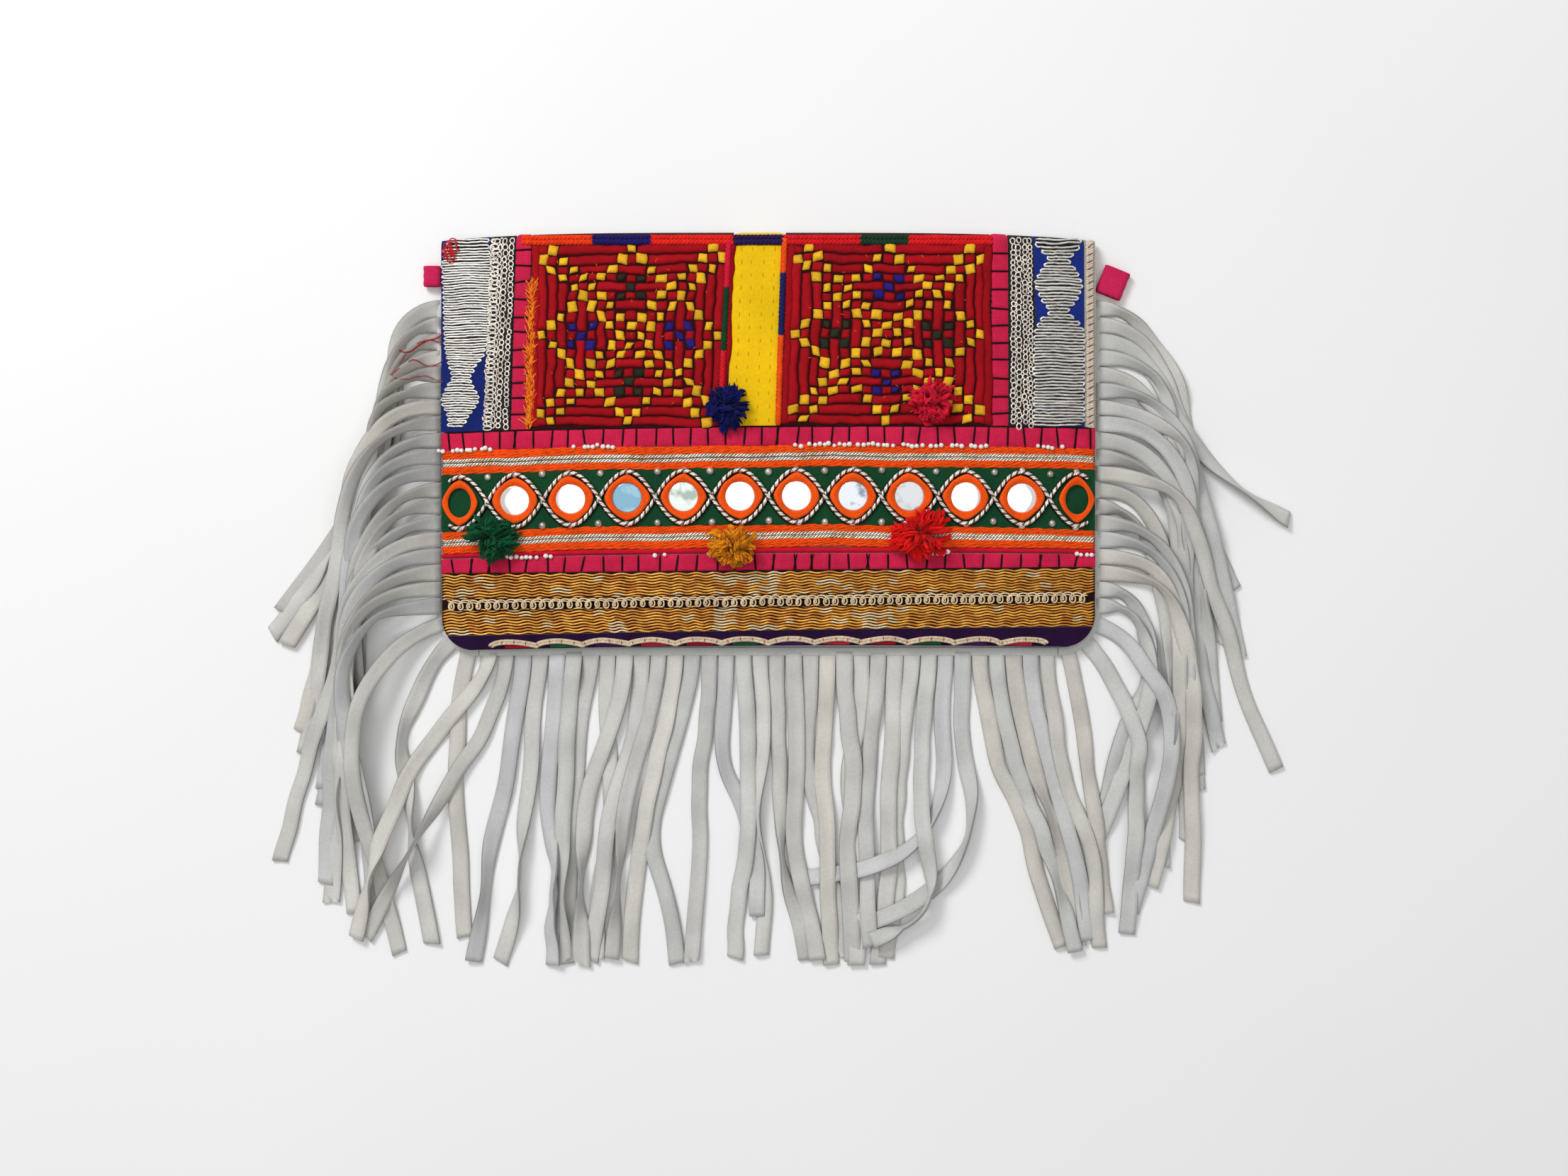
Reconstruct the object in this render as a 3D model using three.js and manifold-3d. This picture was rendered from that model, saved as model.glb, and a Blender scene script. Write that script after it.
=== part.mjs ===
// A fold-over pouch of pale suede: a hollow body, a flap covered in patchwork bands,
// and a fringe of suede strips on three sides. Millimetres, lying on its back:
// X runs across, Y towards the fold, Z up. The origin is the middle of the back's rest face.

import * as THREE from 'three';
import { mergeVertices } from 'three/addons/utils/BufferGeometryUtils.js';
import Module from 'manifold-3d';

const wasm = await Module();
wasm.setup();

// Driving dimensions

const flapWidth = 280;
const flapHeight = 177;
const flapThickness = 1.6;
const flapCorner = 14;
const backLeg = 7;
const bagDepth = 14;
const rimDepth = 5.4;
const fitGap = 0.3;
const slideGap = 0.5;

const bodyInset = 1.5;
const bodyWall = 1.3;
const mouthDrop = 3.5;
const edgeRound = 1;

const patchThickness = 1.2;
const bindingThickness = 1.5;
const cordHeight = 2.4;
const braidHeight = 1.6;
const chainHeight = 1.4;

const mirrorRadius = 6.7;
const mirrorThickness = 0.9;
const ringReach = 9.4;
const ringHeight = 2;
const waveHeight = 11.1;
const waveBraidWidth = 1.6;
const waveBraidHeight = 1.2;
const chainWidth = 5.2;
const scallopBraidWidth = 1.8;
const scallopHeight = 3.6;
const scallopPitch = 22.6;

const stripWidth = 7;
const stripThickness = 1.2;
const stripPitch = 7.25;
const bottomStripLength = 135;
const sideStripLength = 155;
const headerWidth = 3.6;
const headerThickness = 1.3;
const headerLift = 1;
const floorGap = 0.1;
const fringeTop = 62;
const liftLength = 9;
const runGap = 1;

const ribbonThickness = 0.9;
const ribbonLoopDepth = 4.6;

// Colours and finishes

function cloth(color, roughness = 0.9) {
  return new THREE.MeshStandardMaterial({ color, roughness, metalness: 0 });
}

function wire(color, roughness = 0.45) {
  return new THREE.MeshStandardMaterial({ color, roughness, metalness: 0.8 });
}

const suede = cloth(0xc4c4c0, 0.95);
const pinkCloth = cloth(0xd72355);
const crimsonCloth = cloth(0xe11432);
const redThread = cloth(0xaa0f1e);
const yellowFelt = cloth(0xf0c30f);
const orangeYarn = cloth(0xfa550f);
const greenCloth = cloth(0x144628);
const purpleCloth = cloth(0x2d0a3c);
const beigeBraid = cloth(0xdcc8aa);
const silverWire = wire(0xcdc8be);
const goldThread = wire(0xbe8228, 0.5);
const mirrorGlass = wire(0xe6ebee, 0.05);

// Seams across the flap. Each row gives the seam's drop from the top edge
// as a share of flapHeight, at the left edge, the middle and the right edge.

const seams = {
  blocksEnd: { left: 0.474, middle: 0.461, right: 0.462 },
  pinkEnd: { left: 0.521, middle: 0.509, right: 0.516 },
  cord1End: { left: 0.540, middle: 0.525, right: 0.530 },
  silver1End: { left: 0.560, middle: 0.545, right: 0.547 },
  cord2End: { left: 0.576, middle: 0.559, right: 0.563 },
  mirrorEnd: { left: 0.716, middle: 0.699, right: 0.712 },
  cord3End: { left: 0.733, middle: 0.714, right: 0.726 },
  silver2End: { left: 0.751, middle: 0.732, right: 0.739 },
  cord4End: { left: 0.766, middle: 0.750, right: 0.755 },
  crimsonEnd: { left: 0.779, middle: 0.766, right: 0.768 },
  lowerPinkEnd: { left: 0.817, middle: 0.809, right: 0.801 },
  goldEnd: { left: 0.965, middle: 0.951, right: 0.942 },
  hem: { left: 1.0, middle: 0.989, right: 0.992 },
};

// Boundaries between the upright patches, as shares of half the flap's width,
// at the fold and at the lower end of the blocks.

const columns = {
  leftEdge: { atFold: -1, atEnd: -1 },
  leftChain: { atFold: -0.846, atEnd: -0.866 },
  leftPink: { atFold: -0.768, atEnd: -0.783 },
  leftBlock: { atFold: -0.72, atEnd: -0.727 },
  yellow: { atFold: -0.104, atEnd: -0.128 },
  rightBlock: { atFold: 0.052, atEnd: 0.028 },
  rightPink: { atFold: 0.677, atEnd: 0.677 },
  rightChain: { atFold: 0.729, atEnd: 0.729 },
  rightZari: { atFold: 0.807, atEnd: 0.822 },
  rightBraid: { atFold: 0.963, atEnd: 0.965 },
  rightEdge: { atFold: 1, atEnd: 1 },
};

// Crown of the closed bag

const peakShare = 0.45;
const foldDrop = 0.35;
const crownPower = 2.4;
const sidePower = 4;
const half = flapWidth / 2;
const topY = flapHeight / 2;
const foldHeight = rimDepth + (bagDepth - rimDepth) * (1 - foldDrop);
const foldLine = topY - foldHeight / 2;

function crown(x, y) {
  const across = Math.min(1, Math.abs(x) / half);
  const down = Math.min(1, Math.max(0, (topY - y) / flapHeight));
  const span = down > peakShare ? 1 - peakShare : peakShare;
  const drop = down > peakShare ? 1 : foldDrop;
  const along = 1 - drop * (Math.abs(down - peakShare) / span) ** crownPower;
  return rimDepth + (bagDepth - rimDepth) * (1 - across ** sidePower) * along;
}

// A place on the flap's outer face, lifted off it. Up to the fold line, along is the
// height y. Past it, turn counts quarter turns round the fold and on to the back leg.

function onFlap(x, y, lift) {
  return [x, y, crown(x, y) + lift];
}

function onFold(x, turn, lift) {
  const radius = crown(x, foldLine) / 2;
  const angle = Math.min(turn, 2) * Math.PI / 2;
  const y = foldLine + (radius + lift) * Math.sin(angle) - Math.max(0, turn - 2) * backLeg;
  return [x, y, radius + (radius + lift) * Math.cos(angle)];
}

function seamY(seam, u) {
  const tilt = (seam.right - seam.left) / 2;
  const bow = (seam.right + seam.left) / 2 - seam.middle;
  return topY - flapHeight * (seam.middle + tilt * u + bow * u * u);
}

function cornerCut(y, bottom, radius) {
  const reach = Math.min(1, Math.max(0, (bottom + radius - y) / radius));
  return radius * (1 - Math.sqrt(1 - reach * reach));
}

function flapX(u, y) {
  const hem = seamY(seams.hem, u);
  return u * (half - cornerCut(y, hem, flapCorner));
}

// Shapes: a box or a cylinder whose points are moved by a function of their shares

function remapBox(nx, ny, nz, place) {
  const geometry = new THREE.BoxGeometry(1, 1, 1, nx, ny, nz);
  const position = geometry.attributes.position;
  for (let i = 0; i < position.count; i++) {
    const a = position.getX(i) + 0.5;
    const b = position.getY(i) + 0.5;
    const c = position.getZ(i) + 0.5;
    position.setXYZ(i, ...place(a, b, c));
  }
  return geometry;
}

function share(list, t) {
  const last = list.length - 1;
  const k = Math.min(last - 1, Math.floor(t * last));
  return THREE.MathUtils.lerp(list[k], list[k + 1], t * last - k);
}

function asSolid(geometry) {
  const bare = geometry.clone();
  bare.deleteAttribute('normal');
  bare.deleteAttribute('uv');
  const merged = mergeVertices(bare, 1e-4);
  const vertProperties = Float32Array.from(merged.attributes.position.array);
  const triVerts = Uint32Array.from(merged.index.array);
  return new wasm.Manifold(new wasm.Mesh({ numProp: 3, vertProperties, triVerts }));
}

function asGeometry(solid) {
  const mesh = solid.getMesh();
  const geometry = new THREE.BufferGeometry();
  geometry.setAttribute('position', new THREE.BufferAttribute(mesh.vertProperties, 3));
  geometry.setIndex(new THREE.BufferAttribute(mesh.triVerts, 1));
  return geometry;
}

const pouch = new THREE.Group();

function add(name, geometry, material) {
  const mesh = new THREE.Mesh(geometry, material);
  mesh.name = name;
  pouch.add(mesh);
  return mesh;
}

// Shares across the flap where every wide piece has a vertex, so that the pieces nest

const acrossStations = [-1, -0.91, -0.77, -0.56, -0.3, 0, 0.3, 0.56, 0.77, 0.91, 1];

// Flap: one suede sheet from the hem over the fold to the short back leg

const hemRows = [1, 0.985, 0.965, 0.93, 0.86, 0.76, 0.63, 0.46, 0.24, 0];
const foldTurns = [0.4, 0.75, 1, 1.25, 1.6, 2, 3];

function flapSheet() {
  const rows = hemRows.length - 1 + foldTurns.length;
  return remapBox(acrossStations.length - 1, rows, 1, (a, b, c) => {
    const u = share(acrossStations, a);
    const lift = (c - 1) * flapThickness;
    const row = Math.round(b * rows);
    if (row >= hemRows.length) {
      const x = flapX(u, foldLine);
      return onFold(x, foldTurns[row - hemRows.length], lift);
    }
    const y = THREE.MathUtils.lerp(foldLine, seamY(seams.hem, u), hemRows[row]);
    return onFlap(flapX(u, y), y, lift);
  });
}

add('flap_base', flapSheet(), suede);

// Body: an outer loft with a rounded seam edge, less the pocket, which leaves by the mouth

const bodyHalf = half - bodyInset;
const bodyBottom = -topY + bodyInset;
const bodyBackTop = foldLine - backLeg - fitGap;
const mouthY = bodyBackTop - mouthDrop;
const bodyRows = [0, 0.03, 0.085, 0.18, 0.32, 0.52, 0.76, 1];

function bodyX(u, y, inset) {
  const corner = flapCorner - inset;
  return u * (bodyHalf - inset - cornerCut(y, bodyBottom + inset, corner));
}

function bodyTop(x, y) {
  return crown(x, y) - flapThickness - slideGap;
}

function bodyOuter() {
  return remapBox(acrossStations.length - 1, bodyRows.length - 1, 2, (a, b, c) => {
    const inset = c === 0.5 ? 0 : edgeRound;
    const u = share(acrossStations, a);
    const top = THREE.MathUtils.lerp(bodyBackTop, mouthY, c);
    const y = THREE.MathUtils.lerp(bodyBottom + inset, top, share(bodyRows, b));
    const x = bodyX(u, y, inset);
    return [x, y, bodyTop(x, y) * c];
  });
}

function bodyPocket() {
  const inset = bodyWall + edgeRound;
  const top = bodyBackTop + mouthDrop;
  return remapBox(acrossStations.length - 1, bodyRows.length - 1, 1, (a, b, c) => {
    const u = share(acrossStations, a);
    const y = THREE.MathUtils.lerp(bodyBottom + inset, top, share(bodyRows, b));
    const x = bodyX(u, y, inset);
    return [x, y, c === 0 ? bodyWall : bodyTop(x, Math.min(y, mouthY)) - bodyWall];
  });
}

add('pouch_body', asGeometry(asSolid(bodyOuter()).subtract(asSolid(bodyPocket()))), suede);

// Patches of the upper row: upright strips that run from the blocks' end over the fold

const patchTurns = [0.4, 0.75, 0.95];

function columnU(column, y) {
  const t = Math.max(0, Math.min(1, (foldLine - y) / (seams.blocksEnd.middle * flapHeight)));
  return THREE.MathUtils.lerp(column.atFold, column.atEnd, t);
}

function upright(left, right, thickness, acrossSteps, rowSteps) {
  const rows = rowSteps + patchTurns.length;
  return remapBox(acrossSteps, rows, 1, (a, b, c) => {
    const row = Math.round(b * rows);
    const lift = fitGap + c * thickness;
    const side = (0.5 - a) * fitGap / half;
    if (row > rowSteps) {
      const u = THREE.MathUtils.lerp(left.atFold, right.atFold, a) + side;
      return onFold(u * half, patchTurns[row - rowSteps - 1], lift);
    }
    const foot = THREE.MathUtils.lerp(left.atEnd, right.atEnd, a);
    const low = seamY(seams.blocksEnd, foot) + fitGap / 2;
    const y = THREE.MathUtils.lerp(low, foldLine, row / rowSteps);
    const u = THREE.MathUtils.lerp(columnU(left, y), columnU(right, y), a) + side;
    return onFlap(flapX(u, y), y, lift);
  });
}

const uprights = [
  { name: 'left_zari_panel', from: 'leftEdge', to: 'leftChain', steps: 3, material: silverWire },
  { name: 'left_chain_braid', from: 'leftChain', to: 'leftPink', steps: 1, material: silverWire },
  { name: 'left_pink_binding', from: 'leftPink', to: 'leftBlock', steps: 1, material: pinkCloth },
  { name: 'left_embroidered_block', from: 'leftBlock', to: 'yellow', steps: 6, material: redThread },
  { name: 'centre_yellow_strip', from: 'yellow', to: 'rightBlock', steps: 2, material: yellowFelt },
  { name: 'right_embroidered_block', from: 'rightBlock', to: 'rightPink', steps: 6, material: redThread },
  { name: 'right_pink_binding', from: 'rightPink', to: 'rightChain', steps: 1, material: pinkCloth },
  { name: 'right_chain_braid', from: 'rightChain', to: 'rightZari', steps: 1, material: silverWire },
  { name: 'right_zari_panel', from: 'rightZari', to: 'rightBraid', steps: 3, material: silverWire },
  { name: 'right_edge_braid', from: 'rightBraid', to: 'rightEdge', steps: 1, material: beigeBraid },
];
const uprightRows = 5;

for (const { name, from, to, steps, material } of uprights) {
  const geometry = upright(columns[from], columns[to], patchThickness, steps, uprightRows);
  add(name, geometry, material);
}

// Bands that cross the whole flap between two seams. A cord's top is narrower than its foot.

function band(upper, lower, height, topShare, deep = 1) {
  const steps = acrossStations.length - 1;
  return remapBox(steps, deep, 1, (a, b, c) => {
    const u = share(acrossStations, a) * (1 - fitGap / half);
    const low = seamY(lower, u) + fitGap / 2;
    const high = seamY(upper, u) - fitGap / 2;
    const width = c === 1 ? topShare : 1;
    const y = THREE.MathUtils.lerp(low, high, 0.5 + (b - 0.5) * width);
    return onFlap(flapX(u, y), y, fitGap + c * height);
  });
}

const kinds = {
  cloth: { height: patchThickness, top: 1 },
  binding: { height: bindingThickness, top: 1 },
  cord: { height: cordHeight, top: 0.55 },
  braid: { height: braidHeight, top: 0.8 },
};
const bands = [
  { name: 'upper_pink_binding', from: 'blocksEnd', to: 'pinkEnd', kind: 'binding', rows: 1 },
  { name: 'orange_cord_1', from: 'pinkEnd', to: 'cord1End', kind: 'cord', rows: 1 },
  { name: 'silver_braid_1', from: 'cord1End', to: 'silver1End', kind: 'braid', rows: 1 },
  { name: 'orange_cord_2', from: 'silver1End', to: 'cord2End', kind: 'cord', rows: 1 },
  { name: 'mirror_band', from: 'cord2End', to: 'mirrorEnd', kind: 'cloth', rows: 2 },
  { name: 'orange_cord_3', from: 'mirrorEnd', to: 'cord3End', kind: 'cord', rows: 1 },
  { name: 'silver_braid_2', from: 'cord3End', to: 'silver2End', kind: 'braid', rows: 1 },
  { name: 'orange_cord_4', from: 'silver2End', to: 'cord4End', kind: 'cord', rows: 1 },
  { name: 'crimson_piping', from: 'cord4End', to: 'crimsonEnd', kind: 'braid', rows: 1 },
  { name: 'lower_pink_binding', from: 'crimsonEnd', to: 'lowerPinkEnd', kind: 'binding', rows: 1 },
  { name: 'gold_band', from: 'lowerPinkEnd', to: 'goldEnd', kind: 'cloth', rows: 3 },
  { name: 'purple_hem', from: 'goldEnd', to: 'hem', kind: 'cloth', rows: 2 },
];
const bandMaterials = {
  upper_pink_binding: pinkCloth,
  orange_cord_1: orangeYarn,
  silver_braid_1: silverWire,
  orange_cord_2: orangeYarn,
  mirror_band: greenCloth,
  orange_cord_3: orangeYarn,
  silver_braid_2: silverWire,
  orange_cord_4: orangeYarn,
  crimson_piping: crimsonCloth,
  lower_pink_binding: pinkCloth,
  gold_band: goldThread,
  purple_hem: purpleCloth,
};

for (const { name, from, to, kind, rows } of bands) {
  const { height, top } = kinds[kind];
  add(name, band(seams[from], seams[to], height, top, rows), bandMaterials[name]);
}

// Trims laid along a line on the flap: the section is a low box

const trimLift = fitGap + patchThickness + fitGap;
const endMargin = 3;

function trim(lineY, steps, width, height, reach, lift) {
  return remapBox(steps, 1, 1, (a, b, c) => {
    const u = (2 * a - 1) * reach;
    const step = 0.5 / steps;
    const rise = lineY(u + step) - lineY(u - step);
    const run = 2 * step * half;
    const length = Math.hypot(rise, run);
    const side = (b - 0.5) * width;
    const y = lineY(u) + side * run / length;
    const x = flapX(u, lineY(u)) - side * rise / length;
    return onFlap(x, y, lift + c * height);
  });
}

function chainLine(u) {
  return (seamY(seams.lowerPinkEnd, u) + seamY(seams.goldEnd, u)) / 2;
}

const trimReach = 1 - endMargin / half;
const chainSteps = 18;
const chain = trim(chainLine, chainSteps, chainWidth, chainHeight, trimReach, trimLift);
add('loop_chain', chain, beigeBraid);

// Scalloped braid on the hem

const scallops = Math.round(flapWidth / scallopPitch);
const scallopSteps = 3;
const hemReach = 1 - flapCorner / half;

function scallopLine(u) {
  const phase = (u / hemReach + 1) / 2 * scallops;
  const arch = Math.abs(Math.sin(phase * Math.PI)) ** 0.8;
  return seamY(seams.hem, u) + scallopBraidWidth + arch * (scallopHeight - scallopBraidWidth);
}

const scallopCount = scallops * scallopSteps;
const scallop = trim(scallopLine, scallopCount, scallopBraidWidth, waveBraidHeight, hemReach, trimLift);
add('scalloped_braid', scallop, beigeBraid);

// Mirror units: round mirrors in orange yarn rings, and the silver rope that winds round them

const unitCount = 12;
const firstUnit = -0.94;
const lastUnit = 0.94;
const unitPitch = (lastUnit - firstUnit) / (unitCount - 1) * half;
const ringSides = 12;
const ringSection = 4;
const diamondPower = 1.5;
const rimSqueeze = 0.8;

function unitU(i) {
  return firstUnit + (lastUnit - firstUnit) * i / (unitCount - 1);
}

function bandMiddle(u) {
  return (seamY(seams.cord2End, u) + seamY(seams.mirrorEnd, u)) / 2;
}

function diamondReach(angle) {
  const sum = Math.abs(Math.cos(angle)) ** diamondPower + Math.abs(Math.sin(angle)) ** diamondPower;
  return ringReach / sum ** (1 / diamondPower);
}

function yarnRing(u, squeeze) {
  const tube = 0.3;
  const geometry = new THREE.TorusGeometry(1, tube, ringSection, ringSides);
  const position = geometry.attributes.position;
  const inner = mirrorRadius + fitGap;
  for (let i = 0; i < position.count; i++) {
    const angle = Math.atan2(position.getY(i), position.getX(i));
    const out = (Math.hypot(position.getX(i), position.getY(i)) - 1) / tube;
    const up = position.getZ(i) / tube;
    const reach = THREE.MathUtils.lerp(inner, diamondReach(angle), (out + 1) / 2);
    const x = u * half + reach * Math.cos(angle) * squeeze;
    const y = bandMiddle(u) + reach * Math.sin(angle);
    position.setXYZ(i, ...onFlap(x, y, trimLift + (up + 1) / 2 * ringHeight));
  }
  return geometry;
}

function mirrorDisc(u) {
  const geometry = new THREE.CylinderGeometry(1, 1, 1, ringSides);
  geometry.rotateX(Math.PI / 2);
  const position = geometry.attributes.position;
  for (let i = 0; i < position.count; i++) {
    const x = u * half + position.getX(i) * mirrorRadius;
    const y = bandMiddle(u) + position.getY(i) * mirrorRadius;
    const lift = trimLift + (position.getZ(i) + 0.5) * mirrorThickness;
    position.setXYZ(i, ...onFlap(x, y, lift));
  }
  return geometry;
}

function numbered(name, i) {
  return `${name}_${String(i).padStart(2, '0')}`;
}

for (let i = 0; i < unitCount; i++) {
  const open = i === 0 || i === unitCount - 1;
  add(numbered('ring', i + 1), yarnRing(unitU(i), open ? rimSqueeze : 1), orangeYarn);
  if (!open) {
    add(numbered('mirror', i), mirrorDisc(unitU(i)), mirrorGlass);
  }
}

const waveSteps = 4 * unitCount;
const waveReach = lastUnit + unitPitch / half * 0.2;

function waveLine(sign) {
  return (u) => {
    const phase = (u - firstUnit) * half / unitPitch * Math.PI;
    return bandMiddle(u) + sign * waveHeight * Math.cos(phase);
  };
}

function diamondBraid() {
  const waves = [1, -1].map((sign) => {
    const height = waveBraidHeight + (sign > 0 ? fitGap : 0);
    const line = waveLine(sign);
    return asSolid(trim(line, waveSteps, waveBraidWidth, height, waveReach, trimLift));
  });
  return asGeometry(waves[0].add(waves[1]));
}

add('diamond_braid', diamondBraid(), silverWire);

// Pompoms: a round head whose yarn ends stand out in locks, lying on the bands

const onPatch = fitGap + patchThickness + fitGap;
const onCords = fitGap + cordHeight + fitGap;
const lockPairs = 7;
const pompomRings = 5;
const lockDepth = 0.28;
const pompoms = [
  { name: 'navy_pompom', u: -0.119, down: 0.416, width: 21, length: 20, lift: onPatch },
  { name: 'pink_pompom', u: 0.499, down: 0.404, width: 20, length: 19, lift: onPatch },
  { name: 'green_pompom', u: -0.842, down: 0.73, width: 26, length: 21, lift: onCords },
  { name: 'mustard_pompom', u: -0.106, down: 0.749, width: 24, length: 18, lift: onCords },
  { name: 'red_pompom', u: 0.464, down: 0.722, width: 29, length: 23, lift: onCords },
];
const pompomColors = {
  navy_pompom: 0x0a0f4b,
  pink_pompom: 0xdc0f32,
  green_pompom: 0x055532,
  mustard_pompom: 0xe18c0a,
  red_pompom: 0xf00f0a,
};
const pompomHeight = 11;

function pompomShape({ u, down, width, length, lift }) {
  const geometry = new THREE.SphereGeometry(1, lockPairs * 2, pompomRings);
  const position = geometry.attributes.position;
  const x0 = u * half;
  const y0 = topY - down * flapHeight;
  for (let i = 0; i < position.count; i++) {
    const px = position.getX(i);
    const py = position.getZ(i);
    const meridian = Math.round(Math.atan2(py, px) / Math.PI * lockPairs);
    const lock = meridian % 2 === 0 ? 1 : 1 - lockDepth;
    const x = x0 + px * width / 2 * lock;
    const y = y0 - py * length / 2 * lock;
    const z = crown(x0, y0) + lift + (position.getY(i) + 1) / 2 * pompomHeight;
    position.setXYZ(i, x, y, z);
  }
  return geometry;
}

for (const pompom of pompoms) {
  add(pompom.name, pompomShape(pompom), cloth(pompomColors[pompom.name], 1));
}

// Ribbon loops at the upper corners: a flattened ring of ribbon whose hole runs along Y

const roundSteps = 4;
const loops = [
  { name: 'left_ribbon_loop', side: -1, drop: 11, reach: 7.8, width: 8.6, lean: 0 },
  { name: 'right_ribbon_loop', side: 1, drop: 12, reach: 11.5, width: 12, lean: 22 },
];

function stadium(shape, x0, x1, z0, z1) {
  const radius = (z1 - z0) / 2;
  shape.absarc(x1 - radius, z0 + radius, radius, -Math.PI / 2, Math.PI / 2, false);
  shape.absarc(x0 + radius, z0 + radius, radius, Math.PI / 2, 3 * Math.PI / 2, false);
  return shape;
}

function ribbonLoop({ side, drop, reach, width, lean }) {
  const inner = ribbonThickness;
  const outline = stadium(new THREE.Shape(), 0, reach, 0, ribbonLoopDepth);
  const hole = stadium(new THREE.Path(), inner, reach - inner, inner, ribbonLoopDepth - inner);
  outline.holes.push(hole);
  const options = { depth: width, bevelEnabled: false, curveSegments: roundSteps };
  const geometry = new THREE.ExtrudeGeometry(outline, options);
  geometry.rotateX(Math.PI / 2);
  if (side < 0) {
    geometry.rotateZ(Math.PI);
    geometry.translate(0, -width, 0);
  }
  geometry.rotateZ(-side * THREE.MathUtils.degToRad(lean));
  const lead = width * Math.sin(THREE.MathUtils.degToRad(lean));
  const x = side * (half + fitGap + lead);
  geometry.translate(x, foldLine - drop + width / 2, floorGap);
  return geometry;
}

for (const loop of loops) {
  add(loop.name, ribbonLoop(loop), pinkCloth);
}

// Fringe. Each row is one strip: its lean from straight down in degrees, positive to the
// right, at the five stations along it, and its length as a share of the run's strip length.

const bottomStations = [0.1, 0.3, 0.5, 0.7, 0.9];
const sideStations = [0.06, 0.18, 0.35, 0.6, 0.9];

const bottomStrips = [
  [-37, -39, -26, -18, -14, 1.02],
  [-18, -34, -25, -31, -28, 1.02],
  [-9, -10, -8, -11, -10, 1],
  [-11, 0, -7, -8, -14, 1],
  [-4, -5, -3, 5, 2, 1],
  [-8, -1, -5, -2, 5, 0.99],
  [-13, -6, -3, -2, -2, 1],
  [-4, 8, -5, -6, -4, 0.98],
  [-9, -15, -15, -4, 2, 1.01],
  [-6, -17, -10, -8, -7, 1],
  [-10, -16, -10, -5, -5, 0.99],
  [-9, -14, -11, -6, -3, 1],
  [-13, -16, -16, 21, 7, 1.02],
  [-2, -5, -3, -2, -5, 0.99],
  [-2, -6, 25, 16, 0, 0.86],
  [6, 0, 0, -8, -6, 0.98],
  [6, -4, -7, 7, 0, 0.97],
  [3, 1, -4, 1, 2, 1],
  [-1, 3, 5, 12, 8, 0.99],
  [3, 1, -6, 10, 13, 0.99],
  [0, 3, 8, 13, 10, 0.98],
  [-2, -6, 3, 5, 3, 1],
  [2, 3, -4, 5, 2, 0.99],
  [-2, -5, 2, 3, -3, 1],
  [-3, -5, -5, 0, 5, 0.94],
  [-4, -3, 1, -3, -8, 1],
  [-8, -6, -5, -3, -5, 0.98],
  [-7, -2, -2, 16, -70, 1.02],
  [-7, 9, -25, -65, -85, 1.04],
  [1, 10, -5, -40, -68, 1.04],
  [7, 15, 18, 20, 20, 0.98],
  [8, 15, 18, 19, 15, 0.99],
  [9, 13, 16, 15, 12, 0.96],
  [7, 15, 15, 12, 8, 0.94],
  [7, 12, 15, 10, 8, 0.96],
];

const leftStrips = [
  [-62, -5, -2, -34, -37, 1],
  [-66, -10, -2, -33, -37, 1.03],
  [-66, -14, -2, -30, -32, 0.99],
  [-70, -24, -4, -17, -21, 0.89],
  [-77, -22, -10, -11, -17, 0.95],
  [-77, -22, -6, -10, -21, 1.01],
  [-80, -34, -9, -14, -15, 1.05],
  [-78, -39, -12, -10, -12, 1.06],
  [-78, -30, -5, -1, -15, 1.02],
  [-79, -39, -3, -8, -10, 1.06],
  [-75, -30, -10, 1, -11, 1.02],
  [-79, -31, -8, -7, 0, 0.99],
  [-76, -36, -10, -3, 6, 1.01],
  [-77, -40, -10, -23, -14, 1.06],
  [-81, -44, -4, -11, -2, 1.06],
  [-81, -41, -7, -4, -5, 1.06],
  [-85, -51, 3, -5, 6, 1.06],
  [-79, -52, 2, 12, -3, 1.06],
];

const leftCornerStrips = [
  [-60, -40, -11, 14, 14, 1.03],
  [-36, -24, -6, 10, 10, 0.88],
  [-12, -8, -1, 4, 4, 0.8],
];

const rightCornerStrips = [
  [12, 11, 9, 6, 6, 0.74],
  [36, 26, 10, -4, -4, 0.85],
  [60, 40, 11, -14, -14, 0.9],
];

const rightStrips = [
  [86, 28, -5, -20, -21, 0.79],
  [85, 37, -10, -21, -12, 0.75],
  [82, 40, 10, -2, 2, 1.06],
  [82, 39, -1, -2, -14, 1.06],
  [86, 39, 9, -16, -1, 1.06],
  [84, 42, 7, -1, 0, 1.03],
  [78, 37, 13, 8, 7, 0.71],
  [81, 35, 8, 6, 13, 0.84],
  [80, 54, 20, 16, 23, 1.03],
  [78, 35, 6, 4, 4, 1.06],
  [85, 44, 8, 1, 14, 1.06],
  [77, 50, 7, 9, 5, 1.02],
  [87, 52, 19, 15, 12, 0.92],
  [79, 40, 16, 17, 8, 0.88],
  [86, 42, 12, 23, 26, 0.8],
  [81, 45, 18, 46, 58, 0.76],
  [78, 41, 18, 12, 22, 0.83],
  [79, 44, 20, 13, 16, 0.76],
];

const stripSegments = 4;
const pathSteps = 40;

function leanAt(row, stations, rootLean, s) {
  const knots = [0, ...stations, 1];
  const leans = [rootLean, ...row.slice(0, stations.length), row[stations.length - 1]];
  let k = 0;
  while (k < knots.length - 2 && s > knots[k + 1]) {
    k += 1;
  }
  return THREE.MathUtils.lerp(leans[k], leans[k + 1], (s - knots[k]) / (knots[k + 1] - knots[k]));
}

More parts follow.
